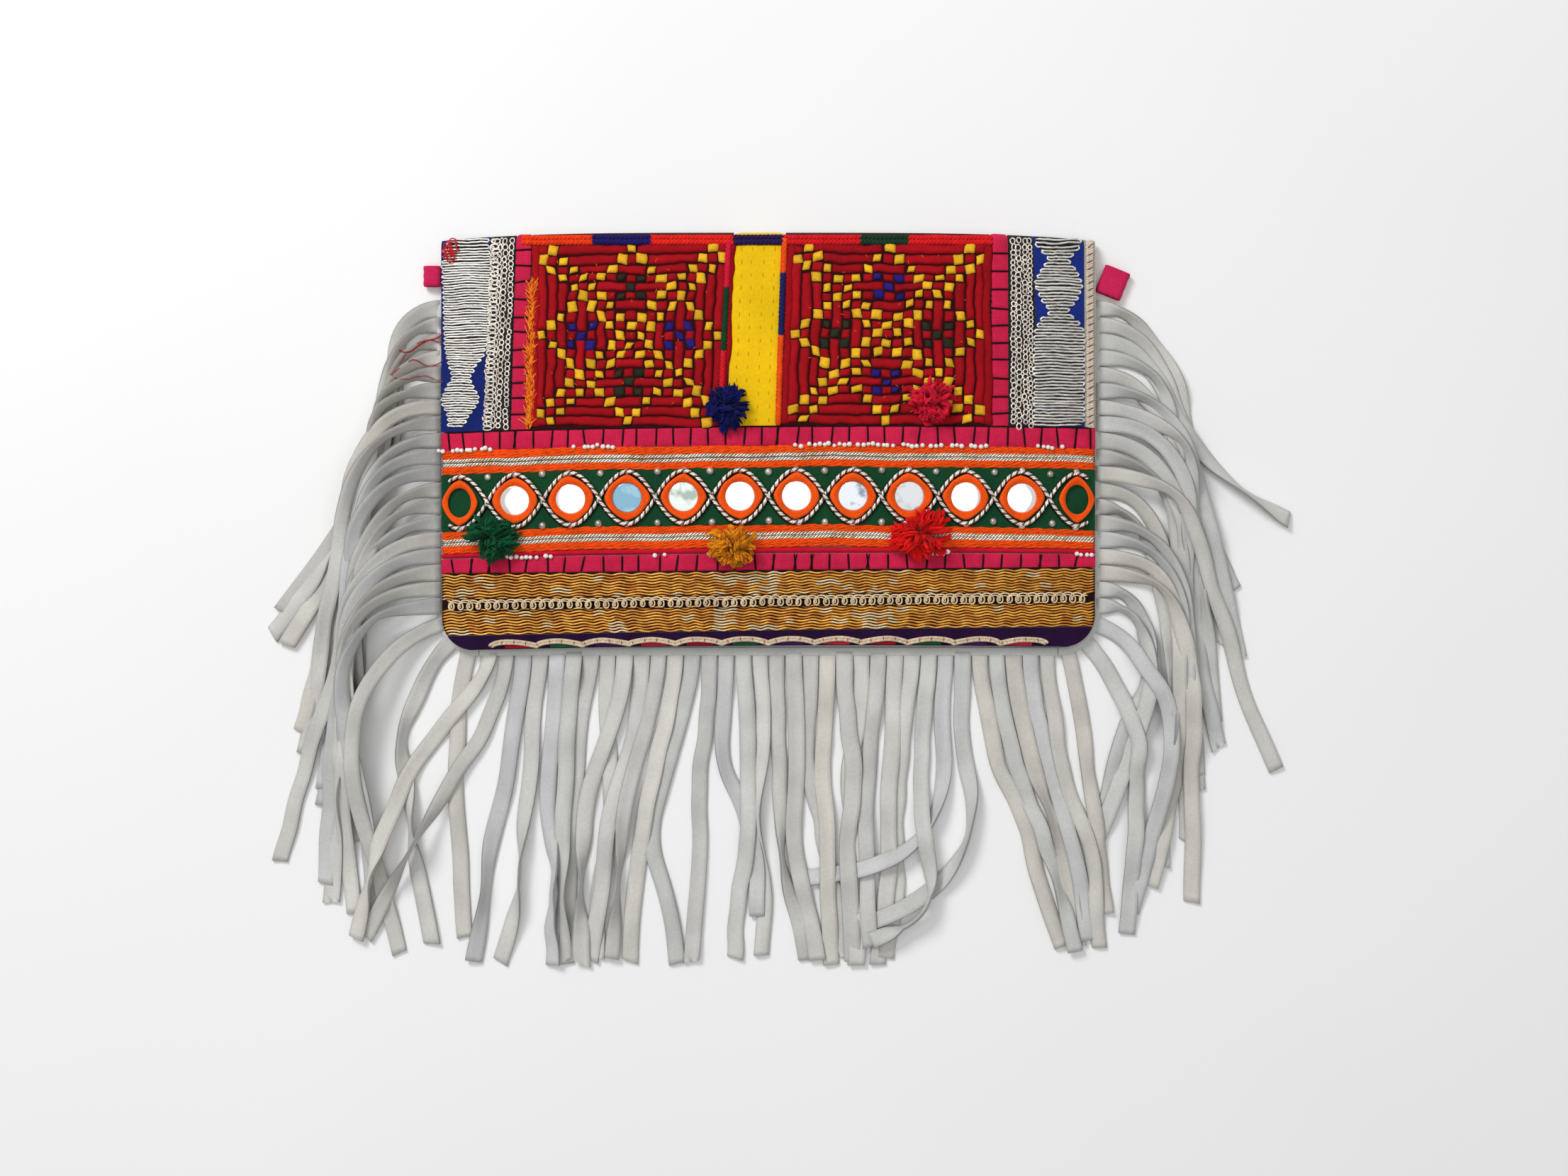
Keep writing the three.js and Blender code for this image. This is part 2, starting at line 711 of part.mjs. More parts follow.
function stripPath(root, row, stations, runLength) {
  const length = runLength * row[stations.length];
  const points = [{ x: root.x, y: root.y, lean: root.lean, s: 0 }];
  for (let k = 1; k <= pathSteps; k++) {
    const last = points[k - 1];
    const lean = leanAt(row, stations, root.lean, (k - 0.5) / pathSteps);
    const angle = THREE.MathUtils.degToRad(lean);
    const step = length / pathSteps;
    const x = last.x + Math.sin(angle) * step;
    const y = last.y - Math.cos(angle) * step;
    points.push({ x, y, lean, s: last.s + step });
  }
  return points;
}

// The rim that the header follows: left side, corner, bottom, corner, right side.
// A place on it is a point and the lean of its outward normal.

const rimRadius = flapCorner;
const sideRun = fringeTop - (bodyBottom + rimRadius);
const cornerRun = rimRadius * Math.PI / 2;
const bottomRun = 2 * (bodyHalf - rimRadius);
const rimRun = 2 * sideRun + 2 * cornerRun + bottomRun;

function rimPlace(run, out) {
  const mirrored = run > rimRun / 2;
  const side = mirrored ? 1 : -1;
  const r = mirrored ? rimRun - run : run;
  const cx = side * (bodyHalf - rimRadius);
  const cy = bodyBottom + rimRadius;
  if (r < sideRun) {
    return { x: side * (bodyHalf + out), y: fringeTop - r, lean: side * 90 };
  }
  if (r < sideRun + cornerRun) {
    const lean = side * 90 * (1 - (r - sideRun) / cornerRun);
    const angle = THREE.MathUtils.degToRad(lean);
    const reach = rimRadius + out;
    return { x: cx + Math.sin(angle) * reach, y: cy - Math.cos(angle) * reach, lean };
  }
  const x = side * (bodyHalf - rimRadius - (r - sideRun - cornerRun));
  return { x, y: bodyBottom - out, lean: 0 };
}

const headerStart = fitGap;
const headerEnd = headerStart + headerWidth;
const rootOut = headerEnd - headerWidth / 2;
const arcSteps = 4;

function rootsAlong(from, to, rows, stations, runLength) {
  const count = Math.max(1, Math.round((to - from) / stripPitch));
  const roots = [];
  for (let i = 0; i < count; i++) {
    const place = rimPlace(from + (to - from) * (i + 0.5) / count, rootOut);
    const row = rows[Math.min(rows.length - 1, Math.floor((i + 0.5) / count * rows.length))];
    roots.push(stripPath(place, row, stations, runLength));
  }
  return roots;
}

const cornerEnd = sideRun + cornerRun;
const fringeRuns = [
  {
    name: 'left_fringe', from: 0, to: cornerEnd,
    strips: [
      ...rootsAlong(0, sideRun, leftStrips, sideStations, sideStripLength),
      ...rootsAlong(sideRun, cornerEnd, leftCornerStrips, sideStations, sideStripLength),
    ],
  },
  {
    name: 'bottom_fringe', from: cornerEnd + fitGap, to: rimRun - cornerEnd - fitGap,
    strips: rootsAlong(cornerEnd + runGap, rimRun - cornerEnd - runGap, bottomStrips, bottomStations,
      bottomStripLength),
  },
  {
    name: 'right_fringe', from: rimRun - cornerEnd, to: rimRun,
    strips: [
      ...rootsAlong(rimRun - cornerEnd, rimRun - sideRun, rightCornerStrips, sideStations,
        sideStripLength),
      ...rootsAlong(rimRun - sideRun, rimRun, rightStrips, sideStations, sideStripLength),
    ],
  },
];

// Strips that cross lie at different levels, so none cuts another

const levelStep = stripThickness + fitGap;

function crosses(one, other) {
  const reach = (stripWidth + fitGap) ** 2;
  const apart = one[0].x !== other[0].x || one[0].y !== other[0].y;
  return apart && one.some((p) => p.s > liftLength && other.some((q) => {
    return q.s > liftLength && (p.x - q.x) ** 2 + (p.y - q.y) ** 2 < reach;
  }));
}

function assignLevels(all) {
  const levels = [];
  all.forEach((strip, i) => {
    const taken = new Set(levels.filter((_, j) => crosses(strip, all[j])));
    let level = 0;
    while (taken.has(level)) {
      level += 1;
    }
    levels[i] = level;
  });
  return levels;
}

const allStrips = fringeRuns.flatMap((run) => run.strips);
const levels = assignLevels(allStrips);

function stripSolid(path, level) {
  const low = floorGap + level * levelStep;
  const total = path[path.length - 1].s;
  const stations = [0, liftLength / total];
  for (let k = 1; k <= stripSegments; k++) {
    stations.push(THREE.MathUtils.lerp(liftLength / total, 1, k / stripSegments));
  }
  return remapBox(stations.length - 1, 1, 1, (a, b, c) => {
    const s = share(stations, a);
    const at = path[Math.round(s * pathSteps)];
    const angle = THREE.MathUtils.degToRad(at.lean);
    const side = (b - 0.5) * stripWidth;
    const z = s === 0 ? headerLift : low;
    return [
      at.x + Math.cos(angle) * side,
      at.y + Math.sin(angle) * side,
      z + c * stripThickness,
    ];
  });
}

function header(from, to) {
  const stations = [from];
  for (let k = 0; k <= arcSteps; k++) {
    stations.push(sideRun + cornerRun * k / arcSteps);
    stations.push(rimRun - sideRun - cornerRun * k / arcSteps);
  }
  const inside = stations.filter((run) => run >= from && run < to - fitGap);
  const runs = [...inside.sort((p, q) => p - q), to];
  return remapBox(runs.length - 1, 1, 1, (a, b, c) => {
    const out = THREE.MathUtils.lerp(headerEnd, headerStart, b);
    const place = rimPlace(share(runs, a), out);
    return [place.x, place.y, headerLift + c * headerThickness];
  });
}

for (const { name, from, to, strips } of fringeRuns) {
  const solids = strips.map((path) => asSolid(stripSolid(path, levels[allStrips.indexOf(path)])));
  const fused = solids.reduce((sum, strip) => sum.add(strip), asSolid(header(from, to)));
  add(name, asGeometry(fused), suede);
}

export default pouch;
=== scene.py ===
# A fold-over pouch of pale suede with a patchwork flap and a strip fringe, lying on its back.
# Lengths in the functions are millimetres; meshes are made in metres by add_piece.

import math

import bpy
import numpy as np
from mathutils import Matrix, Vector


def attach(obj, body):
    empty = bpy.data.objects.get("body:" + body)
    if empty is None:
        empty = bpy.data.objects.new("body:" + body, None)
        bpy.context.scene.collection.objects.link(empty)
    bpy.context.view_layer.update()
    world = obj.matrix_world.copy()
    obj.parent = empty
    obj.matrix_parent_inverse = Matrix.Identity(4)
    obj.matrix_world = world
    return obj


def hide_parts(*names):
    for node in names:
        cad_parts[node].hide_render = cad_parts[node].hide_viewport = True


MM = 0.001
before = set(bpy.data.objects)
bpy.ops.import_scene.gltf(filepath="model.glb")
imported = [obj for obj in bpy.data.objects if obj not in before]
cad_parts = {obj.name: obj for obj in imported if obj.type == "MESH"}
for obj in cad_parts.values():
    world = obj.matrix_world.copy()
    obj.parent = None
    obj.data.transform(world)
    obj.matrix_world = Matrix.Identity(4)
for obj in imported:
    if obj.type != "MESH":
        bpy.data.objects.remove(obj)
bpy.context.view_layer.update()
rng = np.random.default_rng(7)

# Sizes shared with the solids

FLAP_WIDTH = 280
FLAP_HEIGHT = 177
FLAP_THICKNESS = 1.6
FLAP_CORNER = 14
BACK_LEG = 7
BAG_DEPTH = 14
RIM_DEPTH = 5.4
FIT_GAP = 0.3
SLIDE_GAP = 0.5
BODY_INSET = 1.5
BODY_WALL = 1.3
MOUTH_DROP = 3.5
PATCH = 1.2
BINDING = 1.5
CORD_HEIGHT = 2.4
PEAK_SHARE = 0.45
FOLD_DROP = 0.35
CROWN_POWER = 2.4
SIDE_POWER = 4
HALF = FLAP_WIDTH / 2
TOP_Y = FLAP_HEIGHT / 2
FOLD_HEIGHT = RIM_DEPTH + (BAG_DEPTH - RIM_DEPTH) * (1 - FOLD_DROP)
FOLD_LINE = TOP_Y - FOLD_HEIGHT / 2
BODY_HALF = HALF - BODY_INSET
BODY_BOTTOM = -TOP_Y + BODY_INSET
BODY_BACK_TOP = FOLD_LINE - BACK_LEG - FIT_GAP
MOUTH_Y = BODY_BACK_TOP - MOUTH_DROP
TRIM_LIFT = FIT_GAP + PATCH + FIT_GAP

SEAMS = {
    "blocksEnd": (0.474, 0.461, 0.462),
    "pinkEnd": (0.521, 0.509, 0.516),
    "cord1End": (0.540, 0.525, 0.530),
    "silver1End": (0.560, 0.545, 0.547),
    "cord2End": (0.576, 0.559, 0.563),
    "mirrorEnd": (0.716, 0.699, 0.712),
    "cord3End": (0.733, 0.714, 0.726),
    "silver2End": (0.751, 0.732, 0.739),
    "cord4End": (0.766, 0.750, 0.755),
    "crimsonEnd": (0.779, 0.766, 0.768),
    "lowerPinkEnd": (0.817, 0.809, 0.801),
    "goldEnd": (0.965, 0.951, 0.942),
    "hem": (1.0, 0.989, 0.992),
}

COLUMNS = {
    "leftEdge": (-1, -1),
    "leftChain": (-0.846, -0.866),
    "leftPink": (-0.768, -0.783),
    "leftBlock": (-0.72, -0.727),
    "yellow": (-0.104, -0.128),
    "rightBlock": (0.052, 0.028),
    "rightPink": (0.677, 0.677),
    "rightChain": (0.729, 0.729),
    "rightZari": (0.807, 0.822),
    "rightBraid": (0.963, 0.965),
    "rightEdge": (1, 1),
}

# Places on the flap


def crown(x, y):
    x = np.asarray(x, float)
    y = np.asarray(y, float)
    across = np.minimum(1, np.abs(x) / HALF)
    down = np.clip((TOP_Y - y) / FLAP_HEIGHT, 0, 1)
    span = np.where(down > PEAK_SHARE, 1 - PEAK_SHARE, PEAK_SHARE)
    drop = np.where(down > PEAK_SHARE, 1, FOLD_DROP)
    along = 1 - drop * (np.abs(down - PEAK_SHARE) / span) ** CROWN_POWER
    return RIM_DEPTH + (BAG_DEPTH - RIM_DEPTH) * (1 - across ** SIDE_POWER) * along


def place(x, v, lift):
    """A point on the flap. Past the fold line, v runs on round the fold and down the back leg."""
    x, v, lift = np.broadcast_arrays(np.asarray(x, float), np.asarray(v, float),
                                     np.asarray(lift, float))
    flat_z = crown(x, v) + lift
    radius = crown(x, FOLD_LINE) / 2
    past = v - FOLD_LINE
    angle = np.clip(past / radius, 0, math.pi)
    leg = np.maximum(0, past - radius * math.pi)
    fold_y = FOLD_LINE + (radius + lift) * np.sin(angle) - leg
    fold_z = radius + (radius + lift) * np.cos(angle)
    y = np.where(past > 0, fold_y, v)
    z = np.where(past > 0, fold_z, flat_z)
    return np.stack([x, y, z], axis=-1)


def seam_y(name, u):
    left, middle, right = SEAMS[name]
    tilt = (right - left) / 2
    bow = (right + left) / 2 - middle
    return TOP_Y - FLAP_HEIGHT * (middle + tilt * u + bow * u * u)


def corner_cut(y, bottom, radius):
    reach = np.clip((bottom + radius - y) / radius, 0, 1)
    return radius * (1 - np.sqrt(1 - reach * reach))


def flap_x(u, y):
    return u * (HALF - corner_cut(y, seam_y("hem", u), FLAP_CORNER))


def column_u(name, v):
    at_fold, at_end = COLUMNS[name]
    t = np.clip((FOLD_LINE - v) / (SEAMS["blocksEnd"][1] * FLAP_HEIGHT), 0, 1)
    return at_fold + (at_end - at_fold) * t


PX = 280 / 922
PX_X0 = 1084
PX_Y0 = 626


def px_x(x):
    return (np.asarray(x, float) - PX_X0) * PX


def px_y(y):
    return (PX_Y0 - np.asarray(y, float)) * PX


# Mesh making


class Parts:
    """Collects grids and tubes of one piece, with a tint for each point."""

    def __init__(self):
        self.points = []
        self.quads = []
        self.tints = []
        self.count = 0

    def add(self, points, quads, tint=(1, 1, 1)):
        points = np.asarray(points, float).reshape(-1, 3)
        tint = np.asarray(tint, float)
        tints = np.broadcast_to(tint.reshape(-1, 3), (len(points), 3))
        self.points.append(points)
        self.quads.append(np.asarray(quads, int).reshape(-1, 4) + self.count)
        self.tints.append(tints)
        self.count += len(points)

    def grid(self, points, closed_u=False, closed_v=False, tint=(1, 1, 1), flip=False):
        n, m = points.shape[:2]
        i = np.arange(n if closed_u else n - 1)
        j = np.arange(m if closed_v else m - 1)
        i, j = np.meshgrid(i, j, indexing="ij")
        i2 = (i + 1) % n
        j2 = (j + 1) % m
        quads = np.stack([i * m + j, i2 * m + j, i2 * m + j2, i * m + j2], axis=-1)
        quads = quads.reshape(-1, 4)
        if flip:
            quads = quads[:, ::-1]
        tint = np.asarray(tint, float)
        if tint.ndim == 3:
            tint = tint.reshape(-1, 3)
        self.add(points.reshape(-1, 3), quads, tint)

    def slab(self, top, bottom, tint=(1, 1, 1)):
        """A closed sheet between two grids of the same shape."""
        n, m = top.shape[:2]
        ring = [(0, j) for j in range(m)]
        ring += [(i, m - 1) for i in range(1, n)]
        ring += [(n - 1, j) for j in range(m - 2, -1, -1)]
        ring += [(i, 0) for i in range(n - 2, 0, -1)]
        self.grid(top, tint=tint)
        self.grid(bottom, tint=tint, flip=True)
        rows = np.array([[bottom[i, j], top[i, j]] for i, j in ring])
        edge = np.asarray(tint, float)
        if edge.ndim == 3:
            edge = np.array([[edge[i, j], edge[i, j]] for i, j in ring]).reshape(-1, 3)
        self.grid(rows, closed_u=True, tint=edge)

    def tube(self, path, radius, sides=6, flat=1.0, closed=False, tint=(1, 1, 1), round_ends=True):
        """A tube along a path. Its height is flat times its width."""
        path = np.asarray(path, float)
        if closed:
            tangent = np.roll(path, -1, axis=0) - np.roll(path, 1, axis=0)
        else:
            tangent = np.gradient(path, axis=0)
        length = np.linalg.norm(tangent, axis=1, keepdims=True)
        tangent = tangent / np.maximum(length, 1e-9)
        up = np.array([0.0, 0.0, 1.0])
        side = np.cross(tangent, up)
        size = np.linalg.norm(side, axis=1, keepdims=True)
        side = np.where(size > 0.15, side / np.maximum(size, 1e-9), [[1.0, 0.0, 0.0]])
        over = np.cross(side, tangent)
        radius = np.broadcast_to(np.asarray(radius, float), (len(path),)).copy()
        if round_ends and not closed:
            radius[0] *= 0.25
            radius[-1] *= 0.25
        angle = np.arange(sides) / sides * 2 * math.pi
        wide = np.cos(angle)[None, :, None] * side[:, None, :]
        tall = np.sin(angle)[None, :, None] * over[:, None, :] * flat
        points = path[:, None, :] + radius[:, None, None] * (wide + tall)
        tint = np.asarray(tint, float)
        if tint.ndim == 2:
            tint = np.repeat(tint, sides, axis=0)
        self.grid(points, closed_u=closed, closed_v=True, tint=tint, flip=True)


def add_piece(name, parts, material, slot, *nodes, smooth=True):
    points = np.concatenate(parts.points) * MM
    quads = np.concatenate(parts.quads)
    tints = np.concatenate(parts.tints)
    mesh = bpy.data.meshes.new(name)
    mesh.vertices.add(len(points))
    mesh.vertices.foreach_set("co", points.astype(np.float32).ravel())
    mesh.loops.add(quads.size)
    mesh.loops.foreach_set("vertex_index", quads.astype(np.int32).ravel())
    mesh.polygons.add(len(quads))
    mesh.polygons.foreach_set("loop_start", np.arange(len(quads), dtype=np.int32) * 4)
    mesh.polygons.foreach_set("use_smooth", np.full(len(quads), smooth))
    mesh.update(calc_edges=True)
    layer = mesh.color_attributes.new("tint", "FLOAT_COLOR", "POINT")
    rgba = np.concatenate([tints, np.ones((len(tints), 1))], axis=1).astype(np.float32)
    layer.data.foreach_set("color", rgba.ravel())
    mesh.materials.append(material)
    piece = bpy.data.objects.new(name, mesh)
    bpy.context.scene.collection.objects.link(piece)
    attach(piece, "root")
    if nodes:
        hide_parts(*nodes)
    return piece


def srgb(r, g, b):
    out = []
    for value in (r, g, b):
        share = value / 255
        out.append(share / 12.92 if share <= 0.04045 else ((share + 0.055) / 1.055) ** 2.4)
    return tuple(out)


def tint_of(color, spread=0.0):
    base = np.array(srgb(*color))
    return np.clip(base * (1 + spread * rng.standard_normal()), 0, 1)


# Materials


class Nodes:
    """Short ways to make and link shader nodes."""

    def __init__(self, name):
        self.material = bpy.data.materials.new(name)
        self.material.use_nodes = True
        self.tree = self.material.node_tree
        self.shader = self.tree.nodes["Principled BSDF"]
        self.coords = self.tree.nodes.new("ShaderNodeTexCoord").outputs["Object"]

    def node(self, kind, **values):
        made = self.tree.nodes.new(kind)
        for key, value in values.items():
            setattr(made, key, value)
        return made

    def link(self, output, socket):
        self.tree.links.new(output, socket)

    def stretched(self, stretch):
        mapping = self.node("ShaderNodeMapping")
        mapping.inputs["Scale"].default_value = stretch
        self.link(self.coords, mapping.inputs["Vector"])
        return mapping.outputs["Vector"]

    def noise(self, scale, detail=3, stretch=None, rough=0.55):
        noise = self.node("ShaderNodeTexNoise")
        noise.inputs["Scale"].default_value = scale
        noise.inputs["Detail"].default_value = detail
        noise.inputs["Roughness"].default_value = rough
        source = self.stretched(stretch) if stretch else self.coords
        self.link(source, noise.inputs["Vector"])
        return noise.outputs["Fac"]

    def wave(self, pitch_mm, direction, distortion=0.6, stretch=None):
        wave = self.node("ShaderNodeTexWave", bands_direction=direction)
        wave.inputs["Scale"].default_value = 314 / pitch_mm
        wave.inputs["Distortion"].default_value = distortion
        wave.inputs["Detail"].default_value = 1
        source = self.stretched(stretch) if stretch else self.coords
        self.link(source, wave.inputs["Vector"])
        return wave.outputs["Fac"]

    def ramp(self, fac, low, high, start=0.3, end=0.7):
        ramp = self.node("ShaderNodeValToRGB")
        ramp.color_ramp.elements[0].position = start
        ramp.color_ramp.elements[1].position = end
        ramp.color_ramp.elements[0].color = (*low, 1)
        ramp.color_ramp.elements[1].color = (*high, 1)
        self.link(fac, ramp.inputs["Fac"])
        return ramp.outputs["Color"]

    def multiply(self, first, second, amount=1.0):
        mix = self.node("ShaderNodeMix", data_type="RGBA", blend_type="MULTIPLY")
        mix.inputs[0].default_value = amount
        self.link(first, mix.inputs[6])
        self.link(second, mix.inputs[7])
        return mix.outputs[2]

    def bump(self, height, strength, distance_mm, normal=None):
        bump = self.node("ShaderNodeBump")
        bump.inputs["Strength"].default_value = strength
        bump.inputs["Distance"].default_value = distance_mm * MM
        self.link(height, bump.inputs["Height"])
        if normal is not None:
            self.link(normal, bump.inputs["Normal"])
        return bump.outputs["Normal"]


def make_material(name, rough=0.85, metal=0.0, sheen=0.0, mottle=(60, 0.12), fine=(1500, 0.15),
                  bumps=(), weave=None, gloss=0.12):
    """A material tinted by the mesh's own tint, with mottling at two scales and bumps."""
    nodes = Nodes(name)
    tint = nodes.node("ShaderNodeAttribute", attribute_name="tint").outputs["Color"]
    color = tint
    for scale, amount in (mottle, fine):
        low = (1 - amount,) * 3
        high = (1 + amount * 0.5,) * 3
        color = nodes.multiply(color, nodes.ramp(nodes.noise(scale, 4), low, high))
    normal = None
    for scale, strength, distance, stretch in bumps:
        height = nodes.noise(scale, 4, stretch)
        normal = nodes.bump(height, strength, distance, normal)
    if weave:
        pitch, strength = weave
        for direction in ("X", "Y"):
            height = nodes.wave(pitch, direction, 0.8)
            normal = nodes.bump(height, strength, 0.15, normal)
            # painted shade: the colour is darkened in the dips of the weave, following the bump's height
            weave_shade = nodes.ramp(height, (0.78,) * 3, (1.06,) * 3, 0.1, 0.8)
            color = nodes.multiply(color, weave_shade)
    nodes.link(color, nodes.shader.inputs["Base Color"])
    if normal is not None:
        nodes.link(normal, nodes.shader.inputs["Normal"])
    nodes.shader.inputs["Roughness"].default_value = rough
    nodes.shader.inputs["Metallic"].default_value = metal
    nodes.shader.inputs["Specular IOR Level"].default_value = gloss
    if sheen:
        nodes.shader.inputs["Sheen Weight"].default_value = sheen
        nodes.shader.inputs["Sheen Roughness"].default_value = 0.5
    return nodes.material


SUEDE = make_material("suede_nap", 0.95, 0, 0.15, (55, 0.09), (900, 0.07),
                      [(1400, 0.5, 0.18, None), (180, 0.35, 0.5, None)])
CLOTH = make_material("woven_cotton", 0.92, 0, 0.04, (90, 0.15), (1100, 0.14),
                      [(260, 0.4, 0.4, None)], weave=(0.5, 0.35))
THREAD = make_material("embroidery_thread", 0.85, 0, 0, (120, 0.18), (1700, 0.2),
                       [(1500, 0.7, 0.2, None), (420, 0.5, 0.4, None)])
YARN = make_material("wool_yarn", 0.95, 0, 0.05, (140, 0.14), (1500, 0.2),
                     [(1800, 0.7, 0.22, None)])
FELT = make_material("wool_felt", 0.98, 0, 0.08, (45, 0.1), (900, 0.1),
                     [(700, 0.6, 0.3, None), (110, 0.5, 0.9, None)])
SILVER = make_material("silver_wire", 0.42, 0.55, 0, (80, 0.16), (1300, 0.25),
                       [(2200, 0.6, 0.12, None)], gloss=0.5)
GOLD = make_material("gold_thread", 0.45, 0.3, 0, (70, 0.16), (1000, 0.16),
                     [(1800, 0.6, 0.15, None)], gloss=0.5)
BEAD = make_material("bead_metal", 0.16, 0.65, 0, (60, 0.2), (800, 0.2), gloss=0.5)
GLASS_BEAD = make_material("seed_bead", 0.25, 0, 0, (60, 0.05), (800, 0.05), gloss=0.5)


def mirror_material(name, color, spots, rough, metal=0.45):
    nodes = Nodes(name)
    clean = nodes.ramp(nodes.noise(150, 6), spots, color, 0.36, 0.47)
    nodes.link(clean, nodes.shader.inputs["Base Color"])
    nodes.shader.inputs["Metallic"].default_value = metal
    nodes.shader.inputs["Roughness"].default_value = rough
    normal = nodes.bump(nodes.noise(70, 2), 0.08, 0.4)
    nodes.link(normal, nodes.shader.inputs["Normal"])
    return nodes.material


# Patches: a base cloth for each upright patch and band


def upright_grid(left, right, nx, nv, lift, inset=FIT_GAP / 2, top_arc=0.95):
    a = np.linspace(0, 1, nx)[:, None]
    b = np.linspace(0, 1, nv)[None, :]
    foot = COLUMNS[left][1] + (COLUMNS[right][1] - COLUMNS[left][1]) * a
    low = seam_y("blocksEnd", foot) + FIT_GAP / 2
    head = COLUMNS[left][0] + (COLUMNS[right][0] - COLUMNS[left][0]) * a
    top = FOLD_LINE + crown(head * HALF, FOLD_LINE) / 2 * math.pi / 2 * top_arc
    v = low + (top - low) * b
    u = column_u(left, v) * (1 - a) + column_u(right, v) * a + (0.5 - a) * 2 * inset / HALF
    x = flap_x(u, v)
    relief = lift(a, b, x, v) if callable(lift) else lift
    return place(x, v, relief), x, v


def upright_piece(name, left, right, nx, nv, color, material, slot, relief=None, tints=None):
    parts = Parts()
    height = relief if relief else FIT_GAP + PATCH
    top, x, v = upright_grid(left, right, nx, nv, height)
    bottom, _, _ = upright_grid(left, right, nx, nv, FIT_GAP)
    tint = srgb(*color) if tints is None else tints(x, v)
    parts.slab(top, bottom, tint)
    return parts


def band_points(upper, lower, nu, nr, lift):
    u = np.linspace(-1, 1, nu)[:, None] * (1 - FIT_GAP / HALF)
    b = np.linspace(0, 1, nr)[None, :]
    low = seam_y(lower, u) + FIT_GAP / 2
    high = seam_y(upper, u) - FIT_GAP / 2
    y = low + (high - low) * b
    x = flap_x(u, y)
    relief = lift(u, b, x, y) if callable(lift) else lift
    return place(x, y, relief), x, y


def band_parts(upper, lower, nu, nr, lift, tint):
    parts = Parts()
    top, x, y = band_points(upper, lower, nu, nr, lift)
    bottom, _, _ = band_points(upper, lower, nu, nr, FIT_GAP)
    parts.slab(top, bottom, tint(x, y) if callable(tint) else tint)
    return parts


def smooth_noise(x, y, scale, seed):
    """A cheap smooth noise of the place, from a few turned sine waves."""
    local = np.random.default_rng(seed)
    total = 0
    for _ in range(5):
        angle = local.uniform(0, 2 * math.pi)
        rate = local.uniform(0.6, 1.7) / scale * 2 * math.pi
        shift = local.uniform(0, 2 * math.pi)
        total = total + np.sin((x * math.cos(angle) + y * math.sin(angle)) * rate + shift)
    return total / 5


# Suede flap and body


def suede_tint(x, y, seed):
    warm = smooth_noise(x, y, 60, seed)[..., None]
    base = np.array(srgb(203, 203, 199))
    shade = np.array([0.02, 0.008, -0.02])
    return np.clip(base * (1 + warm * shade), 0, 1)


def flap_piece():
    nx, nv = 71, 90
    u = np.linspace(-1, 1, nx)[:, None]
    end = FOLD_LINE + FOLD_HEIGHT / 2 * math.pi + BACK_LEG
    t = np.linspace(0, 1, nv)[None, :]
    spread = 1 - (1 - t) ** 1.15
    low = seam_y("hem", u)
    v = low + (end - low) * spread
    shrink = np.minimum(v, FOLD_LINE)
    x = flap_x(u, shrink)
    edge = np.maximum(np.abs(u) - 0.992, 0) / 0.008 * 0.35
    wrinkle = 0.12 * smooth_noise(x, v, 18, 3)
    top = place(x, v, -0.02 - edge + np.minimum(wrinkle, 0))
    bottom = place(x, v, -FLAP_THICKNESS + edge)
    parts = Parts()
    parts.slab(top, bottom, suede_tint(x, v, 5))
    piece = add_piece("flap", parts, SUEDE, "suede", "flap_base")
    return piece


